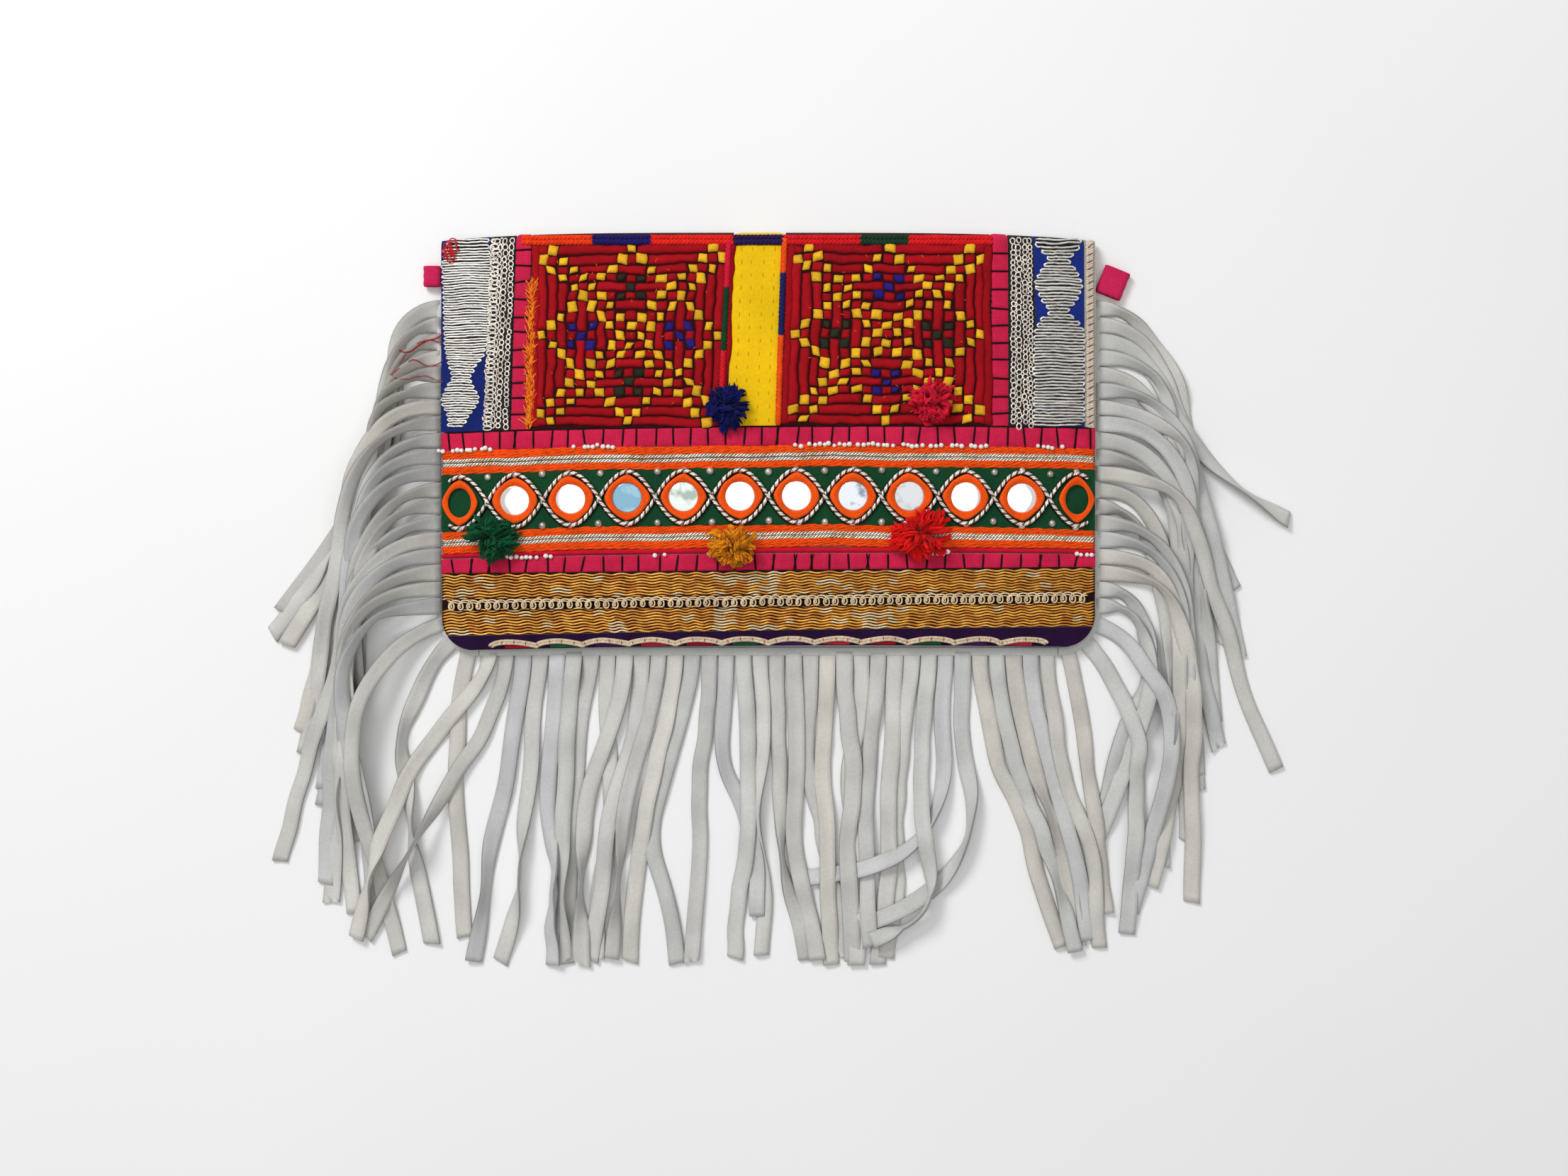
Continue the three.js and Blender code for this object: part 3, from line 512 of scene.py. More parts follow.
def body_piece():
    """The hollow body: an outer skin down to the seam, and the pocket's skin inside it."""
    rows, ring = 46, 96
    angle = np.linspace(0, 2 * math.pi, ring, endpoint=False)

    def shell(inset, wall, top_of):
        loops = []
        for t in np.linspace(0, 1, rows):
            ease = 1 - (1 - t) ** 1.6
            y0 = BODY_BOTTOM + inset + 0.8
            loop = []
            for a in angle:
                c, s = math.cos(a), math.sin(a)
                u = math.copysign(abs(c) ** 0.35, c)
                rise = math.copysign(abs(s) ** 0.75, s)
                end = top_of(s)
                y = y0 + (end - y0) * ease
                cut = float(corner_cut(y, BODY_BOTTOM + inset, FLAP_CORNER - inset))
                x = u * (BODY_HALF - inset - cut)
                height = float(crown(x, min(y, MOUTH_Y))) - FLAP_THICKNESS - SLIDE_GAP
                close = min(1.0, math.sqrt(max(0.0, (y - BODY_BOTTOM - inset) / 5)))
                low, high = max(wall, 0.06), height - wall
                mid = (low + high) / 2
                half = (high - low) / 2 * (0.45 + 0.55 * close)
                loop.append((x, y, mid + rise * half))
            loops.append(loop)
        return np.array(loops)

    def outer_top(s):
        share = (s + 1) / 2
        return BODY_BACK_TOP + (MOUTH_Y - BODY_BACK_TOP) * share

    outer = shell(0, 0, outer_top)
    inner = shell(BODY_WALL + 0.6, BODY_WALL, outer_top)
    outer[0, :, 2] = np.clip(outer[0, :, 2], 1.2, 2.4)
    points = np.concatenate([outer, inner[::-1]])
    parts = Parts()
    parts.grid(points, closed_v=True, tint=suede_tint(points[..., 0], points[..., 1], 9))
    for loop, flip in ((outer[0], True), (inner[0], False)):
        half_ring = ring // 2
        upper = loop[:half_ring + 1]
        lower = loop[[0] + list(range(ring - 1, half_ring - 1, -1))]
        parts.grid(np.stack([upper, lower]), tint=suede_tint(upper[:1, 0], upper[:1, 1], 9)[0],
                   flip=flip)
    piece = add_piece("pouch_shell", parts, SUEDE, "suede", "pouch_body")
    seam = Parts()
    thread = srgb(222, 220, 212)
    for side in (-1, 1):
        for y in np.arange(BODY_BOTTOM + 18, MOUTH_Y - 3, 3.2):
            x = side * (BODY_HALF - 4.5)
            surface = 0.24 * (float(crown(x, y)) - FLAP_THICKNESS - SLIDE_GAP)
            path = [(x, y + d, surface - 0.2 * math.sin(math.pi * d / 2.2)) for d in
                    np.linspace(0, 2.2, 5)]
            seam.tube(np.array(path), 0.28, 6, tint=thread)
    add_piece("body_back_stitches", seam, THREAD, "suede")
    return piece


body_piece()
flap_piece()

# Couched silver wire panels


def serpentine(rows):
    """A wire that runs to and fro across each row, with round turns at its ends."""
    points = []
    for k, (y, left, right) in enumerate(rows):
        ends = (left, right) if k % 2 == 0 else (right, left)
        sway = 0.10 * rng.standard_normal()
        for t in np.linspace(0, 1, 12):
            x = ends[0] + (ends[1] - ends[0]) * t
            points.append((x, y + sway * math.sin(math.pi * t) + 0.07 * rng.standard_normal()))
        if k + 1 < len(rows):
            next_y = rows[k + 1][0]
            next_end = rows[k + 1][2] if k % 2 == 0 else rows[k + 1][1]
            mid_x = (ends[1] + next_end) / 2
            out = 0.55 if ends[1] > ends[0] else -0.55
            points.append((mid_x + out, (y + next_y) / 2))
    return np.array(points)


def zari_rows(table, pitch):
    table = np.array(table, float)
    ys = np.arange(table[0, 0], table[-1, 0], pitch)
    rows = []
    for y in ys:
        left = np.interp(y, table[:, 0], table[:, 1]) + rng.normal(0, 0.8)
        right = np.interp(y, table[:, 0], table[:, 2]) + rng.normal(0, 0.8)
        rows.append((float(px_y(y)), float(px_x(left)), float(px_x(right))))
    return rows


def zari_piece(name, left, right, cloth_color, table, pitch, radius, node):
    edges = np.array(table, float)

    def cloth_and_painted_shade(x, v):
        """Painted shade: near black under the wires, standing in for the shade between them, and plain
        cloth beside them.
        """
        row = PX_Y0 - v / PX
        low = px_x(np.interp(row, edges[:, 0], edges[:, 1])) + 0.3
        high = px_x(np.interp(row, edges[:, 0], edges[:, 2])) - 0.3
        under = (x > low) & (x < high) & (row < edges[-1, 0])
        plain = np.array(srgb(*cloth_color))
        # painted shade: the cloth is tinted near black where the wires lie over it
        return np.where(under[..., None], np.array(srgb(34, 32, 38)), plain)

    cloth = upright_piece(name, left, right, 46, 120, cloth_color, CLOTH, "navy_cloth",
                          tints=cloth_and_painted_shade)
    add_piece(name + "_cloth", cloth, CLOTH, "navy_cloth", node)
    parts = Parts()
    path = serpentine(zari_rows(table, pitch))
    count = len(path)
    lift = FIT_GAP + PATCH + radius * 0.7 + 0.12 * np.sin(np.arange(count) * 0.9)
    bow = 0.5 * smooth_noise(path[:, 0], path[:, 1], 26, 15)
    points = place(path[:, 0], path[:, 1] + bow, lift)
    shade = 1 + 0.10 * rng.standard_normal((count, 1))
    tint = np.clip(np.array(srgb(244, 240, 232)) * shade, 0, 1)
    parts.tube(points, radius, 5, 0.8, tint=tint)
    return parts


LEFT_ZARI = [
    (343, 640, 690), (352, 629, 691), (372, 627, 694), (440, 628, 693), (470, 629, 692),
    (492, 630, 688), (504, 632, 684), (520, 637, 672), (535, 641, 664), (548, 631, 671),
    (562, 625, 679), (578, 630, 670), (590, 634, 662), (605, 635, 656),
]
RIGHT_ZARI = [
    (343, 1459, 1524), (352, 1462, 1521), (368, 1479, 1504), (386, 1466, 1518),
    (405, 1458, 1526), (424, 1467, 1517), (442, 1479, 1504), (455, 1466, 1518),
    (469, 1458, 1527), (535, 1457, 1527), (602, 1457, 1526),
]
left_wire = zari_piece("left_zari", "leftEdge", "leftChain", (24, 40, 112), LEFT_ZARI, 3.6, 0.40,
                       "left_zari_panel")
add_piece("left_zari_wire", left_wire, SILVER, "silver_wire")
right_wire = zari_piece("right_zari", "rightZari", "rightBraid", (30, 50, 140), RIGHT_ZARI, 4.3,
                        0.46, "right_zari_panel")
add_piece("right_zari_wire", right_wire, SILVER, "silver_wire")

# Bands of small wire rings and knots


def ring_path(x, v, radius_x, radius_y, lift, steps=9, turn=0.0):
    angle = np.linspace(0, 2 * math.pi, steps, endpoint=False) + turn
    return place(x + radius_x * np.cos(angle), v + radius_y * np.sin(angle),
                 lift + 0.12 * np.sin(angle * 2))


def chain_piece(name, left, right, columns, y_top, y_end, node):
    base = upright_piece(name, left, right, 8, 40, (44, 36, 36), CLOTH, "silver_wire")
    add_piece(name + "_cloth", base, CLOTH, "silver_wire", node)
    parts = Parts()
    lift = FIT_GAP + PATCH + 0.25
    for top_px, end_px, rx, ry, pitch, wire in columns:
        for y in np.arange(y_top, y_end, pitch):
            t = (y - y_top) / (y_end - y_top)
            x = float(px_x(top_px + (end_px - top_px) * t)) + 0.2 * rng.standard_normal()
            v = float(px_y(y)) + 0.15 * rng.standard_normal()
            grey = rng.uniform(0.72, 1.1)
            tint = np.clip(np.array(srgb(248, 240, 228)) * grey, 0, 1)
            path = ring_path(x, v, rx * rng.uniform(0.85, 1.1), ry * rng.uniform(0.85, 1.15), lift)
            parts.tube(path, wire, 5, closed=True, tint=tint)
            if rng.uniform() < 0.45:
                color = srgb(150, 62, 40) if rng.uniform() < 0.6 else srgb(30, 26, 28)
                side = rng.choice([-1, 1]) * rx
                dot = place(x + side + np.array([-0.4, 0, 0.4]), np.full(3, v + 1.2), lift + 0.2)
                parts.tube(dot, 0.28, 5, tint=color)
    add_piece(name + "_rings", parts, SILVER, "silver_wire")


chain_piece("left_chain", "leftChain", "leftPink",
            [(702, 691, 1.9, 0.85, 6.2, 0.36), (698, 687, 0.9, 0.9, 9.1, 0.34),
             (716, 706, 1.05, 1.15, 7.8, 0.33), (725, 716, 1.0, 1.1, 7.4, 0.33),
             (709, 698, 0.8, 1.3, 8.3, 0.33)],
            345, 606, "left_chain_braid")
chain_piece("right_chain", "rightChain", "rightZari",
            [(1427, 1427, 1.05, 1.1, 7.2, 0.33), (1435, 1435, 1.1, 1.2, 7.6, 0.33),
             (1444, 1444, 1.0, 1.05, 7.0, 0.33), (1451, 1452, 0.9, 0.95, 6.6, 0.32)],
            345, 604, "right_chain_braid")

# Pink bindings with black blanket stitches


def ribbed(lo, amount, stitches, across, width):
    """The height of a binding that puffs up between its stitches."""
    def relief(a, b, x, v):
        along = v if across else x
        near = np.min(np.abs(along[..., None] - stitches), axis=-1)
        dent = np.exp(-(near / width) ** 2)
        edge = np.sqrt(np.clip(1 - np.abs(2 * (a if across else b) - 1) ** 4, 0, 1))
        wrinkle = 0.08 * smooth_noise(x, v, 4, 11)
        return FIT_GAP + lo + (amount + wrinkle) * edge - 0.35 * dent * edge
    return relief


def pink_tint(x, v):
    shade = 1 + 0.10 * smooth_noise(x, v, 9, 21)[..., None]
    return np.clip(np.array(srgb(222, 36, 80)) * shade, 0, 1)


BLACK_THREAD = srgb(24, 18, 20)


def upright_binding(name, left, right, start, pitch, node, side):
    top = float(px_y(342))
    low = float(seam_y("blocksEnd", COLUMNS[left][1])) + 0.5
    stitches = np.arange(px_y(start), low, -pitch * PX)
    stitches = stitches + rng.normal(0, 0.35, len(stitches))
    relief = ribbed(1.0, 0.5, stitches, True, 0.8)
    parts = upright_piece(name, left, right, 10, 150, (215, 38, 88), CLOTH, "pink_cloth", relief,
                          pink_tint)
    add_piece(name, parts, CLOTH, "pink_cloth", node)
    threads = Parts()
    for v in stitches:
        u0 = float(column_u(left, v)) * HALF
        u1 = float(column_u(right, v)) * HALF
        over = 1.4 if side > 0 else 0.6
        back = 0.6 if side > 0 else 1.4
        t = np.linspace(0, 1, 10)
        x = u0 - back + (u1 - u0 + over + back) * t
        slope = rng.normal(0, 0.5)
        lift = FIT_GAP + 1.25 + 0.35 * np.sin(math.pi * t) ** 0.5
        threads.tube(place(x, v + slope * (t - 0.5), lift), 0.36, 6, tint=BLACK_THREAD)
    for v0 in np.arange(low + 1, top, 2.3):
        t = np.linspace(0, 1, 4)
        v = v0 + t * 1.7
        x = column_u(left, v) * HALF - 0.3 + rng.normal(0, 0.1)
        threads.tube(place(x, v, FIT_GAP + 1.55), 0.24, 5, tint=BLACK_THREAD)
    add_piece(name + "_stitches", threads, THREAD, "pink_cloth")


upright_binding("left_pink", "leftPink", "leftBlock", 356, 23.2, "left_pink_binding", 1)
upright_binding("right_pink", "rightPink", "rightChain", 362, 25.0, "right_pink_binding", -1)


def cross_binding(name, upper, lower, pitch, node, line_up, phase):
    stitches = np.arange(-HALF + 2 + phase, HALF - 1, pitch * PX)
    stitches = stitches + rng.normal(0, 0.5, len(stitches))
    relief = ribbed(0.9, 0.7, stitches, False, 0.9)
    parts = band_parts(upper, lower, 400, 11, relief, pink_tint)
    add_piece(name, parts, CLOTH, "pink_cloth", node)
    threads = Parts()
    for x in stitches:
        u = x / HALF
        y0 = float(seam_y(lower, u)) + 0.2
        y1 = float(seam_y(upper, u)) - 0.1
        t = np.linspace(0, 1, 9)
        lean = rng.normal(0, 0.7)
        y = y0 + (y1 - y0) * t
        lift = FIT_GAP + 1.1 + 0.42 * np.sin(math.pi * t) ** 0.5
        threads.tube(place(x + lean * (t - 0.5), y, lift), 0.40, 6, tint=BLACK_THREAD)
        if rng.uniform() < 0.14:
            threads.tube(place(x + 1.6 * (t - 0.5), y, lift + 0.1), 0.30, 5, tint=BLACK_THREAD)
    edge = upper if line_up else lower
    x = np.linspace(-HALF + 2, HALF - 2, 420)
    sway = 0.18 * smooth_noise(x, x * 0, 9, 31)
    sign = -0.25 if line_up else 0.25
    line = place(x, seam_y(edge, x / HALF) + sign + sway, FIT_GAP + 1.35)
    threads.tube(line, 0.30, 5, tint=BLACK_THREAD)
    add_piece(name + "_stitches", threads, THREAD, "pink_cloth")


cross_binding("upper_pink", "blocksEnd", "pinkEnd", 24.5, "upper_pink_binding", True, 1.0)
cross_binding("lower_pink", "crimsonEnd", "lowerPinkEnd", 26.6, "lower_pink_binding", False, 3.0)


def seed_beads(name, edge, offset, runs):
    parts = Parts()
    for x0, x1 in runs:
        for x in np.arange(x0, x1, 6.8):
            if rng.uniform() < 0.18:
                continue
            px = float(px_x(x + rng.normal(0, 0.8)))
            y = float(seam_y(edge, px / HALF)) + offset + rng.normal(0, 0.3)
            size = rng.uniform(0.82, 1.08)
            t = np.linspace(-1, 1, 7)
            path = place(px + t * size, np.full(7, y), FIT_GAP + BINDING + 0.45)
            parts.tube(path, size * np.sqrt(np.clip(1.05 - t * t, 0.05, 1)), 8,
                       tint=srgb(240, 238, 232), round_ends=False)
    add_piece(name, parts, GLASS_BEAD, "beige_braid")


seed_beads("upper_seed_beads", "pinkEnd", 0.5, [(620, 697), (813, 872), (1122, 1396), (1462, 1500)])
seed_beads("lower_seed_beads", "crimsonEnd", -0.1, [(718, 786), (925, 945), (1000, 1046),
                                                    (1308, 1342), (1518, 1542)])

# Embroidered blocks. Each thread cord is one cell wide, lying across where the cell is nearer
# the top or the foot of the block, and upright where it is nearer a side.

CELLS = 19
CENTRE = CELLS // 2
MOTIF_TALL = {(0, 5), (1, 4), (1, 6)}
MOTIF_WIDE = {(5, 0), (4, 1), (6, 1)}


def cell_kind(col, row):
    dx, dy = abs(col - CENTRE), abs(row - CENTRE)
    if abs(dx - dy) == 1 or dx + dy == 9:
        return "yellow"
    if (dx, dy) in MOTIF_TALL:
        return "tall"
    if (dx, dy) in MOTIF_WIDE:
        return "wide"
    return "red"


def cell_runs():
    """Runs of like cells along each cord: the kind, the direction, and the cells' range."""
    runs = []
    for lying in (True, False):
        for line in range(CELLS):
            k = 0
            while k < CELLS:
                col, row = (k, line) if lying else (line, k)
                flat = abs(row - CENTRE) >= abs(col - CENTRE)
                if flat != lying:
                    k += 1
                    continue
                kind = cell_kind(col, row)
                end = k
                while end + 1 < CELLS:
                    c2, r2 = (end + 1, line) if lying else (line, end + 1)
                    same = (abs(r2 - CENTRE) >= abs(c2 - CENTRE)) == lying
                    if not same or cell_kind(c2, r2) != kind or kind != "red":
                        break
                    end += 1
                runs.append((kind, lying, line, k, end + 1))
                k = end + 1
    return runs


def block_piece(name, left, right, tall, wide, node, seed):
    local = np.random.default_rng(seed)
    base = upright_piece(name, left, right, 24, 40, (58, 8, 12), CLOTH, "red_embroidery")
    add_piece(name + "_cloth", base, CLOTH, "red_embroidery", node)
    top_v = float(px_y(349))

    def warp(i, j):
        """A cell corner's place: i cells across, j down, with the hand's unevenness."""
        v0 = seam_y("blocksEnd", (COLUMNS[left][1] + COLUMNS[right][1]) / 2) + 0.6
        v = top_v + (v0 - top_v) * j / CELLS
        v = v + 1.1 * smooth_noise(i * 4.3, j * 4.3, 34, seed + 1)
        v = v + 0.5 * smooth_noise(i * 4.3, j * 4.3, 11, seed + 2)
        a = (i + 0.75) / (CELLS + 1.4)
        u = column_u(left, v) * (1 - a) + column_u(right, v) * a
        x = u * HALF + 1.0 * smooth_noise(i * 4.3, j * 4.3, 30, seed + 3)
        x = x + 0.5 * smooth_noise(i * 4.3, j * 4.3, 10, seed + 4)
        return x, v

    colors = {"red": (164, 12, 24), "yellow": (240, 184, 38), "tall": tall, "wide": wide}
    parts = Parts()
    runs = cell_runs()
    runs += [("red", False, -0.72, 0, CELLS), ("red", False, CELLS - 0.18, 0, CELLS)]
    for kind, lying, line, start, end in runs:
        cells = end - start
        if kind == "red":
            grow, gap = 0.0, 0.035
            height = 1.15
        else:
            grow, gap = local.uniform(-0.07, 0.09), 0.05
            height = 1.35
        nb = 7
        na = 3 * cells + 4
        a = np.linspace(0, 1, na)
        b = np.linspace(0, 1, nb)
        shift = 0.07 * local.standard_normal(2) if kind != "red" else np.zeros(2)
        along = start + gap - grow + (cells - 2 * gap + 2 * grow) * a + shift[0]
        across = line + gap - grow + (1 - 2 * gap + 2 * grow) * b + shift[1]
        along, across = np.meshgrid(along, across, indexing="ij")
        if kind != "red":
            slant = 0.12 * local.standard_normal(2)
            middle_along, middle_across = along.mean(), across.mean()
            along, across = (along + slant[0] * (across - middle_across),
                             across + slant[1] * (along - middle_along))
        if lying:
            x, v = warp(along, across)
        else:
            x, v = warp(across, along)
        round_b = np.sqrt(np.clip(1 - np.abs(2 * b - 1) ** 2.6, 0, 1))[None, :]
        from_end = np.minimum(a, 1 - a)[:, None] * cells
        round_a = np.clip(from_end / 0.22, 0, 1)
        round_a = np.sqrt(1 - (1 - round_a) ** 2)
        lump = 1 + 0.10 * smooth_noise(x, v, 5, seed + 5) + 0.05 * smooth_noise(x, v, 1.6, seed + 6)
        lift = FIT_GAP + PATCH - 0.25 + height * round_b * (0.35 + 0.65 * round_a) * lump
        points = place(x, v, lift)
        shade = 1 + 0.08 * local.standard_normal()
        base_tint = np.array(srgb(*colors[kind])) * shade
        # painted shade: each cord is darker towards its sides and ends, in the valleys between cords
        valley_shade = (0.55 + 0.45 * round_b * (0.4 + 0.6 * round_a))[..., None]
        grain = 1 + 0.10 * smooth_noise(x, v, 1.1, seed + 7)[..., None]
        tint = np.clip(base_tint * valley_shade * grain, 0, 1)
        parts.grid(points, tint=tint, flip=lying)
        if kind == "yellow" or (kind in ("tall", "wide") and local.uniform() < 0.5):
            rim = [(0, 0), (na - 1, 0), (na - 1, nb - 1), (0, nb - 1)]
            corner = np.array([points[i, j] for i, j in rim])
            for p, q in zip(corner, np.roll(corner, -1, axis=0)):
                t = np.linspace(-0.04, 1.04, 5)[:, None]
                line_points = p + (q - p) * t
                line_points[:, 2] += 0.28 + 0.1 * np.sin(math.pi * np.linspace(0, 1, 5))
                parts.tube(line_points, 0.26, 5, tint=srgb(40, 22, 14))
    add_piece(name + "_cords", parts, THREAD, "red_embroidery")
    flecks = Parts()
    for _ in range(46):
        i, j = local.uniform(1, CELLS - 1, 2)
        x, v = warp(i, j)
        angle = local.uniform(0, math.pi)
        t = np.linspace(-1, 1, 4) * local.uniform(0.4, 0.9)
        path = place(x + t * math.cos(angle), v + t * math.sin(angle), FIT_GAP + PATCH + 1.0)
        flecks.tube(path, 0.13, 5, tint=srgb(235, 120, 50))
    add_piece(name + "_flecks", flecks, THREAD, "red_embroidery")


NAVY_CELL = (42, 30, 120)
GREEN_CELL = (44, 46, 34)
block_piece("left_block", "leftBlock", "yellow", GREEN_CELL, NAVY_CELL, "left_embroidered_block", 41)
block_piece("right_block", "rightBlock", "rightPink", NAVY_CELL, GREEN_CELL,
            "right_embroidered_block", 61)

# Yellow felt strip


def felt_relief(a, b, x, v):
    centre = np.clip(1 - np.abs(2 * a - 1) ** 6, 0, 1)
    pucker = 0.16 * smooth_noise(x, v, 10, 71) + 0.05 * smooth_noise(x, v, 2.4, 72)
    return FIT_GAP + PATCH * (0.55 + 0.45 * centre) + pucker


felt = upright_piece("felt", "yellow", "rightBlock", 22, 84, (240, 194, 16), FELT, "yellow_felt",
                     felt_relief)
add_piece("yellow_felt_strip", felt, FELT, "yellow_felt", "centre_yellow_strip")
quilting = Parts()
for share in (0.16, 0.36, 0.58, 0.8):
    for v0 in np.arange(float(px_y(598)), float(px_y(352)), 5.6):
        t = np.linspace(0, 1, 5)
        v = v0 + t * 2.0
        u = column_u("yellow", v) * (1 - share) + column_u("rightBlock", v) * share
        lift = FIT_GAP + PATCH + 0.18 * np.sin(math.pi * t)
        quilting.tube(place(u * HALF + 0.15 * rng.standard_normal(), v, lift), 0.16, 5,
                      tint=srgb(226, 172, 20))
add_piece("felt_quilting", quilting, THREAD, "yellow_felt")

# Twisted yarns


def arc_length(points):
    step = np.linalg.norm(np.diff(points, axis=0), axis=1)
    return np.concatenate([[0], np.cumsum(step)])


def twisted(parts, centre, strands, reach, radius, pitch, tint, sides=6, flat=1.0, spread=0.08,
            phase=0.0):
    """Strands wound round a centre line of points, each a tube of its own."""
    centre = np.asarray(centre, float)
    s = arc_length(centre)
    tangent = np.gradient(centre, axis=0)
    tangent /= np.maximum(np.linalg.norm(tangent, axis=1, keepdims=True), 1e-9)
    side = np.cross(tangent, [0, 0, 1.0])
    side /= np.maximum(np.linalg.norm(side, axis=1, keepdims=True), 1e-9)
    over = np.cross(side, tangent)
    for k in range(strands):
        angle = s / pitch * 2 * math.pi + 2 * math.pi * k / strands + phase
        offset = np.cos(angle)[:, None] * side + np.sin(angle)[:, None] * over * flat
        shade = 1 + spread * rng.standard_normal((len(centre), 1)) * 0.5
        # painted shade: each strand is lighter on top of the twist and darker where it turns under the
        # others
        shade = shade * (0.78 + 0.24 * np.sin(angle)[:, None])
        fuzz = radius * (1 + 0.06 * rng.standard_normal(len(centre)))
        parts.tube(centre + reach * offset, fuzz, sides, tint=np.clip(np.array(tint) * shade, 0, 1))


def edge_yarn(parts, points, color):
    twisted(parts, points, 3, 0.62, 0.78, 5.2, srgb(*color), 5, spread=0.12)


yarns = Parts()


def upright_yarn(x0, x1, y0, y1, color):
    v = np.linspace(float(px_y(y0)), float(px_y(y1)), 60)
    t = np.linspace(0, 1, 60)
    x = float(px_x(x0)) + float(px_x(x1) - px_x(x0)) * t
    edge_yarn(yarns, place(x, v, FIT_GAP + PATCH + 0.75), color)


for x0, x1, y0, y1, color in (
    (1029, 1026, 346, 411, (222, 24, 60)), (1026, 1022, 409, 500, (20, 66, 40)),
    (1022, 1019, 498, 566, (224, 26, 44)), (1107, 1105, 344, 391, (244, 80, 20)),
    (1105, 1102, 388, 478, (28, 34, 96)), (1102, 1098, 476, 603, (244, 82, 18)),
):
    upright_yarn(x0, x1, y0, y1, color)

for x0, x1, color in (
    (738, 840, (240, 62, 20)), (835, 922, (34, 26, 100)), (917, 1036, (238, 40, 30)),
    (1036, 1106, (44, 24, 80)), (1104, 1216, (220, 26, 34)), (1210, 1282, (26, 60, 40)),
    (1278, 1398, (226, 28, 34)),
):
    x = np.linspace(float(px_x(x0)), float(px_x(x1)), 48)
    for v0 in (84.6, 86.4):
        v = v0 + 0.15 * smooth_noise(x, x * 0, 25, 81)
        edge_yarn(yarns, place(x, v, FIT_GAP + PATCH + 0.35), color)
add_piece("patch_edge_yarns", yarns, YARN, "red_embroidery")

# Right edge braid


def edge_braid():
    base = upright_piece("right_braid", "rightBraid", "rightEdge", 6, 60, (196, 188, 172), CLOTH,
                         "beige_braid")
    add_piece("right_edge_cloth", base, CLOTH, "beige_braid", "right_edge_braid")
    parts = Parts()
    v = np.linspace(float(px_y(604)), float(px_y(343)), 260)
    for k in range(3):
        phase = v / 3.2 * 2 * math.pi + 2 * math.pi * k / 3
        x = column_u("rightBraid", v) * HALF + 2.5 + 1.25 * np.sin(phase)
        lift = FIT_GAP + PATCH + 0.2 + 0.3 * np.sin(2 * phase)
        parts.tube(place(x, v, lift), 0.6, 6, 0.7, tint=srgb(214, 206, 190))
    for v0 in np.arange(float(px_y(600)), float(px_y(346)), 3.0):
        t = np.linspace(0, 1, 5)
        x = column_u("rightBraid", v0) * HALF + 1.0 + 3.2 * t
        lift = FIT_GAP + PATCH + 0.55 + 0.3 * np.sin(math.pi * t)
        parts.tube(place(x, v0 + 1.6 * t, lift), 0.25, 5, tint=srgb(150, 66, 40))
    add_piece("right_edge_plait", parts, THREAD, "beige_braid")


edge_braid()

# Bands across the flap


def cloth_tint(color, seed, amount=0.1):
    def tint(x, y):
        shade = 1 + amount * smooth_noise(x, y, 12, seed)[..., None]
        return np.clip(np.array(srgb(*color)) * shade, 0, 1)
    return tint


def hand_sway(x):
    """How far the couched cords wander up and down together, as a hand lays them."""
    return 0.4 * smooth_noise(x, x * 0, 70, 301) + 0.15 * smooth_noise(x, x * 0, 24, 302)


def band_line(upper, lower, share, count, lift, wobble=0.12, seed=1):
    u = np.linspace(-1 + 0.7 / HALF, 1 - 0.7 / HALF, count)
    y = seam_y(lower, u) * (1 - share) + seam_y(upper, u) * share
    y = y + wobble * smooth_noise(u * HALF, u * 0, 14, seed) + hand_sway(u * HALF)
    return place(flap_x(u, y), y, lift)


def orange_cord(index, upper, lower):
    parts = Parts()
    for share, height, seed in ((0.16, 0.8, 3), (0.5, 1.0, 4), (0.84, 0.8, 5)):
        line = band_line(upper, lower, share, 290, FIT_GAP + height, 0.22, seed + index)
        pitch = 11 + 3.5 * ((seed + index) % 3)
        twisted(parts, line, 3, 0.42, 0.44, pitch, srgb(255, 86, 14), 5, 0.8, 0.2, index + seed)
    top, x, y = band_points(upper, lower, 80, 3, FIT_GAP + 0.5)
    bottom, _, _ = band_points(upper, lower, 80, 3, FIT_GAP)
    parts.slab(top, bottom, srgb(196, 48, 12))
    add_piece(f"orange_yarn_cord_{index}", parts, YARN, "orange_yarn", f"orange_cord_{index}")


def silver_rope(index, upper, lower):
    parts = Parts()
    for share in (0.24, 0.76):
        line = band_line(upper, lower, share, 540, FIT_GAP + 0.95, 0.2, 9 + index)
        s = arc_length(line)
        golden = np.clip(0.5 + 0.8 * smooth_noise(line[:, 0], line[:, 1], 26, 17 + index), 0, 1)
        tangent = np.gradient(line, axis=0)
        tangent /= np.linalg.norm(tangent, axis=1, keepdims=True)
        side = np.cross(tangent, [0, 0, 1.0])
        for k in range(3):
            phase = s / 4.3 * 2 * math.pi + 2 * math.pi / 3 * k + share * 9
            path = line + side * (0.62 * np.cos(phase))[:, None]
            path[:, 2] += 0.4 * np.sin(phase)
            # painted shade: each strand is darker where it dips down between the others and lighter where
            # it rises
            shade = (0.36 + 0.72 * np.clip(np.sin(phase) + 0.3, 0, 1))[:, None]
            shade = shade * (1 + 0.14 * rng.standard_normal((len(line), 1)))
            pale, brown = np.array(srgb(252, 244, 230)), np.array(srgb(206, 172, 128))
            mix = (golden * (0.9 if k == 0 else 0.4))[:, None]
            parts.tube(path, 0.35, 5, 0.9, tint=np.clip((pale * (1 - mix) + brown * mix) * shade, 0, 1))
    top, _, _ = band_points(upper, lower, 80, 3, FIT_GAP + 0.45)
    bottom, _, _ = band_points(upper, lower, 80, 3, FIT_GAP)
    parts.slab(top, bottom, srgb(46, 28, 22))
    add_piece(f"silver_rope_{index}", parts, SILVER, "silver_wire", f"silver_braid_{index}")


